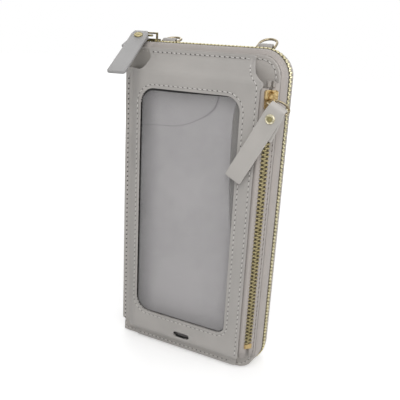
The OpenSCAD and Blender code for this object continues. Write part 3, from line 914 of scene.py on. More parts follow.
@dataclass(frozen=True)
class Seam:
    """A row of thread stitches with a needle hole between each pair.

    Attributes:
        name: Name of the row.
        path: The sewn line in millimetres.
        outward: Rule that gives the way out of the leather at a point.
        body: Body that it rides on.
        thread: Material of the thread.
        hole: Material of the needle holes.
        slot: Slot name passed on to dress.
        length: Length of a stitch.
        radius: Radius of the thread.
        hole_size: Radius of a needle hole over the thread's.
        pitch: Distance from one stitch to the next.
        lean: How far a stitch leans out of the line, as a share of its length.
        flat: Height of the thread over its width.
        hole_long: Length of a needle hole over its width.
        hole_lift: How far a needle hole lies over the leather.
        sides: Sides of the thread and of a hole.
        stations: Rings of a stitch, as place along it, share of the radius and height in radii.
    """

    name: str
    path: Sequence[Vector]
    outward: Callable[[Vector], Vector]
    body: Body
    thread: Material
    hole: Material
    slot: str = "leather"
    length: float = 2.1
    radius: float = 0.26
    hole_size: float = 1.0
    pitch: float = 3.0
    lean: float = 0.10
    flat: float = 0.8
    hole_long: float = 1.1
    hole_lift: float = 0.03
    sides: tuple[int, int] = (6, 8)
    stations: tuple[Point3, ...] = ((-0.5, 0.35, -0.5), (-0.36, 0.9, 0.1), (0.0, 1.0, 0.35),
                                    (0.36, 0.9, 0.1), (0.5, 0.35, -0.5))

    def build(self) -> None:
        """Make the threads and the holes."""
        places = resampled(self.path, self.pitch / 2)
        sides, rim = self.sides
        verts: list[Vector] = []
        faces: list[tuple[int, ...]] = []
        dots: list[Vector] = []
        discs: list[tuple[int, ...]] = []
        for i in range(1, len(places) - 1, 2):
            here = places[i]
            out = self.outward(here)
            along = (places[i + 1] - places[i - 1]).normalized()
            side = along.cross(out).normalized()
            along = (along + side * self.lean).normalized()
            faces += skin_faces(sides, len(self.stations), True, len(verts))
            for at, share, lift in self.stations:
                centre = here + along * (at * self.length) + out * (lift * self.radius)
                for k in range(sides):
                    a = math.tau * k / sides
                    spoke = side * math.cos(a) + out * math.sin(a) * self.flat
                    verts.append(centre + spoke * self.radius * share)
            centre = places[i - 1] + out * self.hole_lift
            discs.append(tuple(len(dots) + k for k in range(rim)))
            for k in range(rim):
                a = math.tau * k / rim
                across = along * math.cos(a) * self.hole_long + side * math.sin(a)
                dots.append(centre + across * self.radius * self.hole_size)
        dress(new_object(self.name, in_metres(verts), faces), self.thread, self.body, self.slot)
        holes = new_object(f"{self.name}_holes", in_metres(dots), discs, False)
        dress(holes, self.hole, self.body, self.slot)


@dataclass
class CoverHalf:
    """One half's outer leather: the cover and its part of the spine in one wrapped sheet.

    Attributes:
        finishes: The pouch's finishes.
        side: Which half it is.
        seam: Distance of the stitched line from the edge.
        seam_half: Half the width of the leather that the stitching draws in.
        dip: How deep it is drawn in.
        grid: Spacing of the sheet's inner points.
        gap: What is left open between the two sheets at the spine, for each.
    """

    finishes: Finishes
    side: Side
    seam: float = 2.3
    seam_half: float = 1.1
    dip: float = 0.25
    grid: float = 6.0
    gap: float = 0.15

    def place(self, s: float, z: float) -> Point3:
        """Place of a point of the sheet, wrapped round the spine's fold.

        Args:
            s: Distance across the sheet from the middle of the cover.
            z: Height.

        Returns:
            The place in millimetres.
        """
        sign = self.side.value
        start = -SIZES.half_w + SIZES.spine_r
        if s >= start:
            return s, sign * SIZES.half_t, z
        turn = (start - s) / SIZES.spine_r
        if turn <= math.pi / 2:
            x = start - SIZES.spine_r * math.sin(turn)
            y = SIZES.half_t - SIZES.spine_r * (1 - math.cos(turn))
            return x, sign * y, z
        rest = (turn - math.pi / 2) * SIZES.spine_r
        return -SIZES.half_w, sign * (SIZES.half_t - SIZES.spine_r - rest), z

    def outline(self, left: float, corner: float, steps: int) -> list[Point2]:
        """Outline from a left edge, round at the zip's side.

        Args:
            left: Place of the left edge.
            corner: Radius of its corners.
            steps: Steps of each arc.

        Returns:
            The outline's points.
        """
        right, high, round_r = SIZES.half_w, SIZES.height, SIZES.corner_r
        return rounded([(left, 0, corner), (right, 0, round_r), (right, high, round_r),
                        (left, high, corner)], steps)

    def build(self) -> None:
        """Make the sheet and its stitched border."""
        side = self.side
        wrap = SIZES.spine_r * math.pi / 2 + SIZES.half_t - SIZES.spine_r - self.gap
        cut = self.outline(-SIZES.half_w + SIZES.spine_r - wrap, 0, 12)
        seams = (self.seam - self.seam_half, self.seam, self.seam + self.seam_half)
        sheet = leather_sheet(f"{side.label}_cover_leather", cut, [], self.place, SIZES.cover_t,
                              self.grid, seams, -self.dip * side.value)
        if side is Side.BACK:
            sheet.data.flip_normals()
        dress(sheet, self.finishes.deep_leather, side.body, "leather", f"{side.label}_cover",
              f"{side.label}_spine")
        edge = inset(self.outline(-SIZES.half_w, 2, 10), self.seam)
        path = resampled([(p[0], side.value * SIZES.half_t, p[1]) for p in edge], 1.0, True)
        start_z = 60
        start = min(range(len(path)), key=lambda i: path[i].x * 10 + abs(path[i].z - start_z))
        out = Vector((0, side.value, 0))
        Seam(f"{side.label}_cover_stitching", path[start:] + path[:start], lambda p: out, side.body,
             self.finishes.thread, self.finishes.hole).build()


@dataclass
class BodyTape:
    """The zip's tape round three sides, one for each half, with a dark strip of painted shadow beside the
    teeth.

    Attributes:
        finishes: The pouch's finishes.
        side: Which half it belongs to.
        bulge_side: How far the chain stands out at the right.
        bulge_top: How far it stands out at the top.
        rise: Height of the outer face at the bottom, at the cover and at the chain.
        radius_top: Radius of the chain's top corner.
        radius_low: Radius of the chain's bottom corner.
        stations: Section of the tape, as share of the bulge, depth under the face and distance
            from the zip's plane.
        shadow_stations: Section of the strip of painted shadow in the same way.
        starts: Distances from the spine at which each half's tape starts, below and on top.
        straight_steps: Steps of a straight stretch below or on top.
        side_steps: Steps of the straight stretch at the right.
        arc_steps: Steps of a corner.
    """

    finishes: Finishes
    side: Side
    bulge_side: float = 1.9
    bulge_top: float = 2.9
    rise: tuple[float, float] = (0.3, 1.15)
    radius_top: float = 15.0
    radius_low: float = 13.0
    stations: tuple[Point3, ...] = (
        (0.0, 0.0, 9.3), (0.14, 0.0, 9.0), (0.36, 0.0, 8.5), (0.62, 0.0, 7.8), (0.84, 0.0, 6.8),
        (0.96, 0.0, 5.6), (1.0, 0.0, 4.2), (1.0, 0.0, 1.0), (1.0, 0.8, 1.0), (1.0, 0.8, 4.4),
        (0.8, 0.8, 6.4), (0.4, 0.8, 7.8), (0.0, 0.8, 8.6))
    shadow_stations: tuple[Point3, ...] = (
        (1.0, -0.03, 2.6), (1.0, -0.22, 2.35), (1.0, -0.22, 0.95), (1.0, 0.4, 0.95), (1.0, 0.4, 2.6))
    starts: tuple[Point2, Point2] = ((9.0, 15.75), (9.4, 15.9))
    straight_steps: int = 16
    side_steps: int = 30
    arc_steps: int = 14

    def low_face(self, share: float, depth: float) -> float:
        """Height of the tape at the bottom."""
        return self.rise[0] + share * (self.rise[1] - self.rise[0]) + depth

    def top_face(self, share: float, depth: float) -> float:
        """Height of the tape at the top."""
        return SIZES.height + share * self.bulge_top - depth

    def outline(self, share: float, depth: float, low_x: float, top_x: float) -> list[Point2]:
        """Line round three sides at a share of the bulge and a depth under the face.

        Args:
            share: Share of the bulge.
            depth: Depth under the face.
            low_x: Where it starts at the bottom.
            top_x: Where it ends at the top.

        Returns:
            The line's points.
        """
        x = SIZES.half_w + share * self.bulge_side - depth
        low, top = self.low_face(share, depth), self.top_face(share, depth)
        rt = SIZES.corner_r + share * (self.radius_top - SIZES.corner_r) - depth
        rb = SIZES.corner_r + share * (self.radius_low - SIZES.corner_r) - depth
        n, m = self.straight_steps, self.side_steps
        line = [(low_x + (x - rb - low_x) * i / n, low) for i in range(n)]
        line += arc((x - rb, low + rb), rb, -90, 0, self.arc_steps)
        line += [(x, low + rb + (top - rt - low - rb) * i / m) for i in range(1, m)]
        line += arc((x - rt, top - rt), rt, 0, 90, self.arc_steps)
        line += [(x - rt + (top_x - x + rt) * i / n, top) for i in range(1, n + 1)]
        return line

    def strip(self, name: str, stations: Sequence[Point3]) -> bpy.types.Object:
        """Draw a section round the three sides.

        Args:
            name: Name of the piece.
            stations: The section's points.

        Returns:
            The piece.
        """
        low_x, top_x = self.starts[0 if self.side is Side.FRONT else 1]
        left, sign = -SIZES.half_w, self.side.value
        lines = [self.outline(share, depth, left + low_x, left + top_x) for share, depth, _ in stations]
        rings = [[(x, sign * station[2], z) for (x, z), station in zip(points, stations)]
                 for points in zip(*lines)]
        return loft(name, rings)

    def build(self) -> None:
        """Make the long tape of this half and its strip of painted shadow under the teeth."""
        name, body = self.side.label, self.side.body
        tape = self.strip(f"{name}_tape_cloth", self.stations)
        soften(tape, 0.15, 2, 60)
        dress(tape, self.finishes.tape, body, "zip_tape", f"{name}_zip_tape")
        # The dark strip under the teeth is painted shadow between them.
        edge = self.strip(f"{name}_chain_shadow_paint", self.shadow_stations)
        dress(edge, self.finishes.chain_edge, body, "zip_tape")


@dataclass
class ClosedEnds:
    """The short stretches of both tapes beside the spine, which stay with the front half."""

    finishes: Finishes

    def stretch(self, name: str, x0: float, x1: float, side: Side, top: bool) -> None:
        """Make one stretch of tape between two distances from the spine.

        Args:
            name: Name of the piece.
            x0: Its first distance.
            x1: Its second distance.
            side: Half whose tape it goes on from.
            top: Whether it lies at the top.
        """
        tape = BodyTape(self.finishes, side)
        reach = 9.3 if side is Side.FRONT else (8.6 if top else 7.2)
        section: list[Point2] = []
        for share, depth, y in tape.stations:
            if y > reach:
                continue
            z = tape.top_face(share, depth) if top else tape.low_face(share, depth)
            if top and side is Side.BACK:
                z = max(z, SIZES.height + 0.35)
            section.append((side.value * y, z))
        piece = loft(name, [[(-SIZES.half_w + x, y, z) for y, z in section] for x in (x0, x1)])
        soften(piece, 0.15, 2, 60)
        dress(piece, self.finishes.tape, Body.FRONT, "zip_tape",
              "zip_top_end" if top else "zip_bottom_end")

    def build(self) -> None:
        """Make the four stretches."""
        self.stretch("top_end_front_cloth", 0.4, 15.75, Side.FRONT, True)
        self.stretch("top_end_back_cloth", 0.4, 12.9, Side.BACK, True)
        self.stretch("foot_end_front_cloth", 1.9, 9.0, Side.FRONT, False)
        self.stretch("foot_end_back_cloth", 1.9, 5.2, Side.BACK, False)


@dataclass
class WindowPocket:
    """The front pocket: its leather with window, slot and cut-away corners, film and lining.

    Attributes:
        finishes: The pouch's finishes.
        hem: Width of the flat hem.
        left: Width of the sloping border at the left.
        top: Width of the sloping border at the top.
        low: Width of the sloping border at the bottom.
        edge_x: Place of the free edge beside the pocket's zip.
        window: Window opening as left, right, low and high.
        slot: Thumb slot as left, low, right and high, with the radius of its ends.
        film_t: Thickness of the film.
        ground_t: Thickness of the thin sheets of painted shade behind the openings.
        lining_z: Where the lining ends at the top.
        lining_edge: The lining's loose right edge, from its foot up.
    """

    finishes: Finishes
    hem: float = 4.5
    left: float = 9.5
    top: float = 8.0
    low: float = 6.0
    edge_x: float = 40.5
    window: tuple[float, float, float, float] = (-31.75, 30.25, 24.5, 165.5)
    slot: tuple[float, float, float, float, float] = (-4.0, 12.8, 7.5, 16.2, 1.65)
    film_t: float = 0.28
    ground_t: float = 0.15
    lining_z: float = 171.0
    lining_edge: tuple[Point2, ...] = (
        (31.0, 22.0), (30.6, 66.0), (28.4, 80.0), (25.6, 94.0), (24.0, 112.0), (23.2, 132.0),
        (23.0, 150.0), (23.9, 159.0), (26.0, 166.0))

    def depth(self, x: float, z: float) -> float:
        """Depth of the panel's outer face at a point of the pocket's plane.

        Args:
            x: The point's place across.
            z: Its height.

        Returns:
            The face's y.
        """
        rise = -SIZES.pocket_y - SIZES.half_t
        shares = []
        for share in ((x + SIZES.half_w - self.hem) / self.left,
                      (SIZES.height - self.hem - z) / self.top,
                      (z - self.hem - 0.5) / self.low):
            t = min(1.0, max(0.0, share))
            shares.append(t * t * (3 - 2 * t) * 0.35 + t * 0.65)
        return -SIZES.half_t - SIZES.panel_t - (rise - SIZES.panel_t) * min(shares)

    def place(self, x: float, z: float) -> Point3:
        """Place of a point of the panel's outer face."""
        return x, self.depth(x, z), z

    def outline(self) -> list[Point2]:
        """Cut outline of the panel with its three cut-away corners."""
        left, high = -SIZES.half_w, SIZES.height
        return rounded([
            (-35.2, 0.6, 0.8), (36.9, 0.6, 1.5), (37.2, 8.5, 1.2), (self.edge_x, 11.0, 2.0),
            (self.edge_x, 170.0, 0.6), (41.9, 171.6, 0.5), (41.9, 173.4, 0.9), (36.2, 178.4, 4.0),
            (33.9, 182.4, 4.0), (34.1, high - 0.6, 0.6), (-31.9, high - 0.6, 0.8), (-29.7, 181.0, 4.0),
            (-31.0, 175.3, 3.6), (left + 0.6, 175.6, 0.9), (left + 0.6, 9.2, 0.9), (-39.5, 9.2, 3.0)], 6)

    def window_outline(self, grown: float = 0.0) -> list[Point2]:
        """The window's outline, grown by a margin. Its low right corner is the tighter one.

        Args:
            grown: The margin.

        Returns:
            The outline's points.
        """
        x0, x1, z0, z1 = self.window
        wide, tight = 8.5 + grown, 5 + grown
        return rounded([(x0 - grown, z0 - grown, wide), (x1 + grown, z0 - grown, tight),
                        (x1 + grown, z1 + grown, wide), (x0 - grown, z1 + grown, wide)], 10)

    def slot_outline(self, grown: float = 0.0) -> list[Point2]:
        """The slot's outline, grown by a margin."""
        x0, z0, x1, z1, radius = self.slot
        return rounded_box(x0 - grown, z0 - grown, x1 + grown, z1 + grown, radius + grown, 6)

    def outward(self, p: Vector) -> Vector:
        """Way out of the leather at a point near its face.

        Args:
            p: The point.

        Returns:
            The direction.
        """
        probe = 0.3
        a = Vector(self.place(p.x + probe, p.z)) - Vector(self.place(p.x - probe, p.z))
        b = Vector(self.place(p.x, p.z + probe)) - Vector(self.place(p.x, p.z - probe))
        return a.cross(b).normalized()

    def sew(self, name: str, line: Sequence[Point2], hole_size: float = 1.1) -> None:
        """Sew one row along a line of the pocket's plane.

        Args:
            name: Name of the row.
            line: The line.
            hole_size: Radius of a needle hole over the thread's.
        """
        path = [Vector(self.place(p.x, p.y)) for p in resampled(line, 1.0)]
        Seam(f"{name}_stitching", path, self.outward, Body.FRONT, self.finishes.thread,
             self.finishes.hole, radius=0.27, hole_size=hole_size).build()

    def ground(self, name: str, outline: Sequence[Point2], grid: float, material: Material) -> None:
        """Lay a thin sheet of painted shade on the cover, where it shows through an opening."""
        foot = at_depth(-SIZES.half_t - 0.25)
        sheet = leather_sheet(name, outline, [], foot, self.ground_t, grid, edge=0.03)
        dress(sheet, material, Body.FRONT, "leather")

    def sew_rows(self) -> None:
        """Sew round the window and along the panel's edges."""
        border = self.window_outline(2.0)
        self.sew("window", border + [border[0]])
        hem, high, free = -SIZES.half_w + 2.6, SIZES.height - 2.4, self.edge_x - 1.9
        self.sew("left_hem", [(hem, 10.0), (hem, 173.4)], 1.8)
        self.sew("top_hem", [(-28.6, high), (31.0, high)], 1.4)
        self.sew("low_hem", [(-32.6, 2.8), (35.2, 2.8)], 1.3)
        self.sew("free_edge", [(free, 13.0), (free, 172.0), (37.0, 174.3), (34.2, 177.2),
                               (32.3, 179.7), (31.6, 182.4), (31.6, 184.0)])

    def film_edge(self) -> None:
        """Paint the window's cut edge dark and lay painted shadow on the film's rim under the panel's edge,
        widest at the top left.
        """
        outline = [(p.x, p.y) for p in resampled(self.window_outline(), 0.8, True)]
        x0, x1, _, z1 = self.window
        face, foot = SIZES.pocket_y + 0.35, SIZES.pocket_y + SIZES.panel_t - 0.03
        rim: list[Point3] = []
        for p, q in zip(outline, inset(outline, 1.0)):
            # The rim widens towards the top left: painted shadow under the panel's top edge.
            top = min(1.0, max(0.0, (p[1] - z1 + 5) / 5)) * min(1.0, max(0.0, (x1 - p[0]) / (x1 - x0) * 1.6))
            reach = 0.42 + 0.9 * top
            rim.append((p[0] + (q[0] - p[0]) * reach, foot, p[1] + (q[1] - p[1]) * reach))
        rings = [[(x, face, z) for x, z in outline], [(x, foot, z) for x, z in outline], rim]
        dress(loft("window_rim_paint_and_shadow", rings, False), self.finishes.edge_paint, Body.FRONT, "leather")

    def dark_parts(self) -> None:
        """Paint the slot's edge dark with painted shade down into the slot, and lay painted shade where the
        cover shows through the slot, beside the lining and in the top left notch.
        """
        # The slot's wall runs 2.6 mm down into the pocket: dark cut edge and painted shade inside the slot.
        outline = resampled(self.slot_outline(), 0.8, True)
        rings = [[(p.x, self.depth(p.x, p.y) + sunk, p.y) for p in outline] for sunk in (0.3, 2.6)]
        dress(loft("slot_rim_paint_and_shade", rings, False), self.finishes.edge_paint, Body.FRONT, "leather")
        # Near-black sheet behind the thumb slot: painted shade inside the pocket.
        self.ground("slot_shade_sheet", self.slot_outline(4.0), 4.0, self.finishes.edge_paint)
        # Painted shade on the cover beside the lining, seen through the window.
        self.ground("pocket_shade_sheet", rounded_box(20.0, 21.5, self.edge_x - 4.5, 171.0, 1), 9.0,
                    self.finishes.inner_leather)
        # Painted shade on the cover in the top left notch.
        notch = rounded_box(-SIZES.half_w + 2, 172.0, -25.0, SIZES.height - 1.2, 1)
        self.ground("notch_shade_sheet", notch, 6.0, self.finishes.shade_leather)

    def build(self) -> None:
        """Make the panel, its stitching, the film and the pocket's lining."""
        panel = leather_sheet("window_panel_leather", self.outline(),
                              [self.window_outline(), self.slot_outline()], self.place,
                              SIZES.panel_t, 2.2, (0.8, 1.9, 3.0), 0.18, 0.5)
        dress(panel, self.finishes.leather, Body.FRONT, "leather", "window_panel")
        self.sew_rows()
        self.film_edge()
        self.dark_parts()
        film = leather_sheet("window_film_sheet", self.window_outline(1.7), [],
                             at_depth(SIZES.pocket_y + SIZES.panel_t + 0.02), self.film_t, 6.0,
                             edge=0.05)
        dress(film, self.finishes.film, Body.FRONT, "film", "window_film")
        low, top = millimetres("pocket_lining")
        foot, *bends = self.lining_edge
        cut = rounded([(low.x, low.z, 3), (foot[0], low.z, 3), *((*p, 6.0) for p in bends),
                       (bends[-1][0], self.lining_z, 2), (low.x, self.lining_z, 3)], 4)
        cloth = leather_sheet("pocket_lining_cloth", cut, [], at_depth(low.y), top.y - low.y, 8.0,
                              (1.0, 2.0), 0.1, 0.2)
        dress(cloth, self.finishes.pocket_cloth, Body.FRONT, "lining", "pocket_lining")


@dataclass
class PocketTapes:
    """The two tapes of the pocket's zip, from the panel's edge and from the cover to the chain.

    Attributes:
        finishes: The pouch's finishes.
        thick: Thickness of the tapes.
        chain_in: Distance of the chain's middle from the cover's edge.
        chain_sunk: Distance of the chain's middle from the panel's outer face.
        slit: Half the gap between the two tapes at the chain.
        wing: Distance from the chain's middle at which a tape bends.
    """

    finishes: Finishes
    thick: float = 0.8
    chain_in: float = 2.75
    chain_sunk: float = 3.4
    slit: float = 1.0
    wing: float = 4.5

    def __post_init__(self) -> None:
        """Place the chain's middle and the direction across it, away from the panel."""
        self.chain = Vector((SIZES.half_w - self.chain_in, SIZES.pocket_y + self.chain_sunk))
        self.way = Vector((1, 1)).normalized()

    def tape(self, name: str, line: Sequence[Vector], node: str, trim: float = 0.0) -> None:
        """Draw a tape's plan line up the pocket's side.

        Args:
            name: Name of the piece.
            line: Middle line of the tape in plan, as (x, y).
            node: Node that it replaces.
            trim: How far it ends below the node's top.
        """
        low, high = millimetres(node)
        flat = resampled(line, 0.7)
        aheads = [heading(flat, i) for i in range(len(flat))]
        offsets = [Vector((ahead.y, -ahead.x)) * self.thick / 2 for ahead in aheads]
        ring = [p + o for p, o in zip(flat, offsets)] + [p - o for p, o in zip(flat[::-1], offsets[::-1])]
        levels = [low.z + (high.z - trim - low.z) * i / 24 for i in range(25)]
        piece = loft(name, [[(p.x, p.y, z) for p in ring] for z in levels])
        dress(piece, self.finishes.tape, Body.FRONT, "zip_tape", node)

    def edge(self, name: str, way: Vector) -> None:
        """Lay a dark strip of painted shadow along one tape's edge, under its teeth.

        Args:
            name: Name of the strip.
            way: Direction from the chain to the tape.
        """
        low, high = millimetres("pocket_zip_teeth_outer")
        face = Vector((way.y, -way.x))
        face = face if face.y < 0 else -face
        start, end = self.chain + way * 0.95, self.chain + way * 1.95
        lift, sink = face * (self.thick / 2 + 0.04), face * 0.1
        ring = [start + lift, end + lift, end + sink, start + sink]
        piece = loft(name, [[(p.x, p.y, z) for p in ring] for z in (low.z, high.z)], True, False)
        dress(piece, self.finishes.chain_edge, Body.FRONT, "zip_tape")

    def build(self) -> None:
        """Make both tapes, the strips of painted shadow under their teeth and the dark row of stitching
        beside the cover.
        """
        chain, way = self.chain, self.way
        inner_y = SIZES.pocket_y + SIZES.panel_t + self.thick / 2
        self.tape("pocket_tape_panel_cloth", [Vector((35.6, inner_y)), Vector((40.1, inner_y)),
                                              chain - way * self.wing, chain - way * self.slit],
                  "pocket_zip_tape_outer", 2.8)
        back = -SIZES.half_t - self.thick / 2
        self.tape("pocket_tape_cover_cloth", [chain + way * self.slit, chain + way * self.wing,
                                              Vector((SIZES.half_w - 0.7, back)),
                                              Vector((SIZES.half_w - 5.9, back))],
                  "pocket_zip_tape_inner")
        self.edge("pocket_chain_shadow_paint_outer", -way)
        self.edge("pocket_chain_shadow_paint_inner", way)
        low, high = millimetres("pocket_zip_tape_inner")
        foot = chain + way * 3.9
        out = Vector((1, -1, 0)).normalized()
        path = [Vector((foot.x, foot.y, z)) + out * self.thick / 2 for z in (low.z + 2, high.z - 4)]
        Seam("pocket_tape_stitching", resampled(path, 1.0), lambda p: out, Body.FRONT,
             self.finishes.dark_thread, self.finishes.hole, "zip_tape", 2.0, 0.2).build()


@dataclass
class PullStrap:
    """A leather pull folded round its ring, its short tail riveted behind the front layer.

    Attributes:
        leather: Material of the strap.
        name: Name of the piece.
        bar: Middle of the ring's bar in millimetres.
        across: Direction across the strap.
        way: Direction in which it hangs.
        node: CAD node that it replaces.
        body: Body that it rides on.
        waist: Share of the width that is left where it goes through the ring.
        sag: How far the strap's middle bows away from its face.
        tip: Radius of the tip's corners.
        length: Distance from the bar to the tip.
        tail: Distance from the bar to the tail's end.
        width: Width of the leather.
        thick: Its thickness.
        gap: Radius of the fold's inside.
        skew: Turn of the tail out of line with the front layer, in degrees.
        neck: Distance from the fold at which the strap has its full width.
        start: Distance from the bar to the tail's upper end.
        edge: Width of the leather's rounded edge.
        seams: Distances from the cut edge at which the sheet's points follow it.
    """

    leather: Material
    name: str
    bar: Vector
    across: Vector
    way: Vector
    node: str
    body: Body
    waist: float = 0.9
    sag: float = 0.3
    tip: float = 0.8
    length: float = 47.0
    tail: float = 17.0
    width: float = 10.0
    thick: float = 1.6
    gap: float = 0.9
    skew: float = 5.0
    neck: float = 8.5
    start: float = 4.4
    edge: float = 0.38
    seams: tuple[float, ...] = (0.5,)

    def __post_init__(self) -> None:
        """Square up the strap's three directions and place the tail's back face."""
        self.x = self.across.normalized()
        self.y = (self.way - self.x * self.way.dot(self.x)).normalized()
        self.z = self.x.cross(self.y)
        self.behind = self.gap - 0.1 - self.thick

    def path(self) -> list[Vector]:
        """Outer face from the end behind the front layer, round the fold and on to the tip."""
        outer = self.gap + self.thick
        line = [(4.6, self.behind), (3.7, self.behind), (0.9, -outer + 0.1)]
        line += arc((0.0, 0.0), outer, 270, 90, 14)
        for i in range(1, 25):
            share = i / 24
            bow = math.sin(math.pi * share) * (1 - 0.5 * share)
            line.append((self.length * share, outer - self.sag * bow))
        return resampled(line, 0.4)

    def front(self) -> None:
        """Make the front layer with its fold."""
        path = self.path()
        total = sum((b - a).length for a, b in zip(path, path[1:]))
        step = total / (len(path) - 1)
        fold = min(range(len(path)), key=lambda i: path[i].x) * step

        def half(s: float) -> float:
            """Half the width at a distance along the path."""
            near = min(1.0, abs(s - fold) / self.neck)
            return self.width / 2 * (self.waist + (1 - self.waist) * near * near * (3 - 2 * near))

        side = [(half(total * i / 40), total * i / 40) for i in range(41)]
        tip = arc((self.width / 2 - self.tip, total - self.tip), self.tip, 0, 90, 5)
        right = [s for s in side if s[1] < total - self.tip - 0.1] + tip

        def place(u: float, s: float) -> Point3:
            """Place of a point of the outer face."""
            at = min(max(s / step, 0.0), len(path) - 1.001)
            here = path[int(at)].lerp(path[int(at) + 1], at - int(at))
            return tuple(self.bar + self.x * u + self.y * here.x + self.z * here.y)

        outline = right + [(-u, s) for u, s in reversed(right)]
        sheet = leather_sheet(self.name, outline, [], place, self.thick, 1.1, self.seams, edge=self.edge)
        dress(sheet, self.leather, self.body, "leather", self.node)

    def back(self) -> None:
        """Make the tail behind the front layer."""
        spin = Matrix.Rotation(math.radians(self.skew), 3, self.z)
        half, reach = self.width / 2, self.tail - self.start
        outline = rounded([(-half, 0, 0.7), (half, 0, 0.7), (half, reach, 0), (-half, reach, 0)], 4)

        def place(u: float, s: float) -> Point3:
            """Place of a point of the tail's back face."""
            flat = spin @ (self.x * u + self.y * (reach - s)) + self.y * self.start
            return tuple(self.bar + flat + self.z * self.behind)

        sheet = leather_sheet(f"{self.name}_tail", outline, [], place, self.thick, 1.6, self.seams,
                              edge=self.edge)
        dress(sheet, self.leather, self.body, "leather")

    def build(self) -> None:
        """Make both layers."""
        self.front()
        self.back()


@dataclass
class RingLoop:
    """A leather loop on the back cover's inside that holds a D-ring at the top edge.

    Attributes:
        finishes: The pouch's finishes.
        name: Name of the piece.
        node: CAD node that it replaces.
        thick: Thickness of the leather.
        eye: Radius of the hole that the ring goes through.
        rise: Height of that hole over the covers.
    """

    finishes: Finishes
    name: str
    node: str
    thick: float = 0.9
    eye: float = 1.0
    rise: float = 3.7

    def build(self) -> None:
        """Make the loop as one folded strip."""
        low, high = millimetres(self.node)
        x = (low.x + high.x) / 2
        y = SIZES.half_t - SIZES.cover_t + self.thick / 2
        z = SIZES.height + self.rise
        leg = [low.z + 1.1 * i for i in range(9)]
        line = [Vector((x, y - 0.95, at)) for at in leg]
        fold = arc((0.0, 0.0), self.eye + self.thick / 2, 215, -35, 16)
        line += [Vector((x, y + a, z + b)) for a, b in fold]
        line += [Vector((x, y + 0.05, at)) for at in leg[::-1]]
        half, deep = (high.x - low.x) / 2, self.thick / 2
        section = rounded_box(-half, -deep, half, deep, 0.22, 2)
        side = Vector((1, 0, 0))
        rings = [[here + side * a + side.cross(heading(line, i)) * b for a, b in section]
                 for i, here in enumerate(line)]
        piece = loft(self.name, rings)
        soften(piece, 0.15, 2, 60)
        dress(piece, self.finishes.leather, Body.BACK, "leather", self.node)


@dataclass
class Linings:
    """The cloth inside both halves and the pockets sewn on it.

    Attributes:
        finishes: The pouch's finishes.
        leaves: Number of card pockets.
        leaf_step: How much lower each card pocket ends than the one behind it.
        leaf_share: Thickness of a card pocket as a share of its place's depth.
    """

    finishes: Finishes
    leaves: int = 3
    leaf_step: float = 14.0
    leaf_share: float = 0.72

    def panel(self, name: str, node: str, body: Body, low: Vector, high: Vector, radius: float = 3.0,
              stands_for: bool = True) -> None:
        """Make one flat panel between two corners of a node's box.

        Args:
            name: Name of the panel.
            node: Node that it belongs to.
            body: Body that it rides on.
            low: Its low corner.
            high: Its high corner.
            radius: Radius of its corners.
            stands_for: Whether it replaces the node.
        """
        outline = rounded_box(low.x, low.z, high.x, high.z, radius)
        sheet = leather_sheet(name, outline, [], at_depth(low.y), high.y - low.y, 9.0,
                              (0.9, 2.0, 3.2), 0.12, 0.25)
        dress(sheet, self.finishes.lining, body, "lining", *([node] if stands_for else []))

    def build(self) -> None:
        """Make the linings, the card pockets and the note pocket."""
        for side in Side:
            node = f"{side.label}_lining"
            self.panel(f"{node}_cloth", node, side.body, *millimetres(node), 9.0)
        low, high = millimetres("front_card_pockets")
        step = (high.y - low.y) / self.leaves
        for i in range(self.leaves):
            self.panel(f"card_pocket_leaf_{i + 1}", "front_card_pockets", Body.FRONT,
                       Vector((low.x, low.y + step * i, low.z)),
                       Vector((high.x, low.y + step * (i + self.leaf_share),
                               high.z - self.leaf_step * i)),
                       stands_for=i == 0)
        self.panel("note_pocket_leaf", "back_note_pocket", Body.BACK, *millimetres("back_note_pocket"))


@dataclass
class Hardware:
    """Finishes and soft edges of the metal pieces that keep their CAD shape."""

    finishes: Finishes

    def build(self) -> None:
        """Dress every metal node."""
        looks = self.finishes
        groups = (
            (looks.gold, 0.14, ("pocket_slider", "pocket_bottom_stop")),
            (looks.olive, 0.2, ("main_slider", "main_pull_ring")),
            (looks.pocket_teeth, 0.16, ("pocket_zip_teeth_outer", "pocket_zip_teeth_inner")),
            (looks.stop, 0.14, ("pocket_top_stops",)),
            (looks.dull_rivet, 0.1, ("main_pull_rivet",)),
            (looks.rivet, 0.16, ("pocket_pull_rivet",)),
            (looks.wire, 0.0, ("dring_left", "dring_right", "pocket_pull_ring")),
            (looks.teeth, 0.16, ("front_zip_teeth", "back_zip_teeth", "main_top_stops",
                                 "main_bottom_stop")),
        )
        for material, width, names in groups:
            for name in names:
                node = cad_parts[name]
                node.data.materials.clear()
                node.data.materials.append(material)
                if width:
                    soften(node, width, 1, 35)
                LOG.info("%s keeps its CAD shape", name)


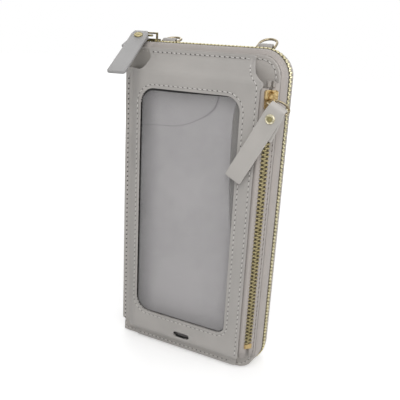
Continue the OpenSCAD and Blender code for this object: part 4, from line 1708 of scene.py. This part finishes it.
@dataclass
class Studio:
    """The camera at the photograph's angle, the soft lights, the white world and the floor.

    Attributes:
        finishes: The pouch's finishes, with the floor's.
        level: Strength of the light from all round.
        lens: Focal length of the camera in millimetres.
        sensor: Width of the camera's sensor in millimetres.
        eye: Place of the camera in millimetres.
        right: The camera's direction to the right.
        ahead: The camera's direction of view.
        lamps: Name, place in metres, side in metres and power in watts of each soft square lamp.
        floor_half: Half the floor's side in metres.
        floor_gap: How far the floor lies under the pouch in metres.
    """

    finishes: Finishes
    level: float = 0.38
    lens: float = 47.916
    sensor: float = 36.0
    eye: Point3 = (137.35, -282.4, 194.5)
    right: Point3 = (0.891, 0.451, 0.054)
    ahead: Point3 = (-0.418, 0.860, -0.292)
    lamps: tuple[tuple[str, Point3, float, float], ...] = (
        ("key_lamp", (0.35, -0.75, 0.85), 0.8, 6.2),
        ("side_lamp", (0.95, 0.05, 0.45), 0.7, 2.6),
        ("back_lamp", (-0.5, 0.7, 0.7), 0.7, 2.4))
    floor_half: float = 3.0
    floor_gap: float = 0.0006

    def camera(self) -> None:
        """Place the camera."""
        data = bpy.data.cameras.new("photo_camera")
        data.sensor_width = self.sensor
        data.lens = self.lens
        data.clip_start = 0.01
        camera = bpy.data.objects.new("photo_camera", data)
        right, ahead = Vector(self.right).normalized(), Vector(self.ahead).normalized()
        place = Matrix((right, right.cross(ahead), -ahead)).transposed().to_4x4()
        place.translation = Vector(self.eye) * MM
        camera.matrix_world = place
        bpy.context.scene.collection.objects.link(camera)
        bpy.context.scene.camera = camera

    def lamp(self, name: str, place: Point3, size: float, power: float) -> None:
        """Hang one soft square lamp aimed at the pouch.

        Args:
            name: Name of the lamp.
            place: Its place in metres.
            size: Side of the square in metres.
            power: Its power in watts.
        """
        data = bpy.data.lights.new(name, "AREA")
        data.size = size
        data.energy = power
        lamp = bpy.data.objects.new(name, data)
        lamp.location = place
        aim = Vector((0, 0, SIZES.height / 2 * MM)) - Vector(place)
        lamp.rotation_euler = aim.to_track_quat("-Z", "Y").to_euler()
        bpy.context.scene.collection.objects.link(lamp)

    def world(self) -> None:
        """Light everything softly from all round, white to the camera."""
        world = bpy.data.worlds.new("studio")
        world.use_nodes = True
        bpy.context.scene.world = world
        tree = world.node_tree
        path = tree.nodes.new("ShaderNodeLightPath")
        seen = math_node(tree, "MAXIMUM", path.outputs["Is Camera Ray"], path.outputs["Is Transmission Ray"])
        seen = math_node(tree, "MAXIMUM", seen, path.outputs["Is Glossy Ray"])
        strength = math_node(tree, "MULTIPLY_ADD", seen, 1 - self.level, self.level)
        feed(tree, tree.nodes["Background"], {"Color": (1, 1, 1, 1), "Strength": strength})

    def floor(self) -> None:
        """Lay the plain white floor."""
        span = self.floor_half
        mesh = bpy.data.meshes.new("floor")
        mesh.from_pydata([(-span, -span, 0), (span, -span, 0), (span, span, 0), (-span, span, 0)], [],
                         [(0, 1, 2, 3)])
        floor = bpy.data.objects.new("floor", mesh)
        floor.location.z = -self.floor_gap
        bpy.context.scene.collection.objects.link(floor)
        floor.data.materials.append(self.finishes.floor)

    def build(self) -> None:
        """Make the whole set."""
        self.camera()
        self.world()
        for lamp in self.lamps:
            self.lamp(*lamp)
        self.floor()
        bpy.context.scene.view_settings.view_transform = "Standard"


def build_pulls(finishes: Finishes) -> None:
    """Hang both pulls as the photograph shows them.

    Args:
        finishes: The pouch's finishes.
    """
    PullStrap(finishes.main_strap, "main_pull_leather", Vector((-40.8, -6.45, 193.9)),
              Vector((-0.963, -0.27, 0)), Vector((0.238, -0.87, -0.432)), "main_pull_strap",
              Body.MAIN_STRAP, waist=0.66, sag=0.5, tip=1.6, length=48.0, skew=-12.0).build()
    across = Vector((0.907, 0.03, -0.42))
    way = Vector((-0.4, 0.05, -0.915))
    turn = Matrix.Rotation(math.radians(4.0), 3, across.cross(way))
    bar = Vector((51.758, -23.923, 161.982)) + across * 0.5
    PullStrap(finishes.strap, "pocket_pull_leather", bar, turn @ -across, turn @ way,
              "pocket_pull_strap", Body.POCKET_STRAP, length=45.5, skew=8.0).build()


def main() -> None:
    """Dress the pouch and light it."""
    logging.basicConfig(level=logging.INFO, format="%(message)s")
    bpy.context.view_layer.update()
    finishes = Finishes()
    for side in Side:
        CoverHalf(finishes, side).build()
        BodyTape(finishes, side).build()
    ClosedEnds(finishes).build()
    WindowPocket(finishes).build()
    PocketTapes(finishes).build()
    build_pulls(finishes)
    for hand in ("left", "right"):
        RingLoop(finishes, f"dring_loop_{hand}", f"dring_tab_{hand}").build()
    Linings(finishes).build()
    Hardware(finishes).build()
    Studio(finishes).build()


if __name__ == "__main__":
    main()
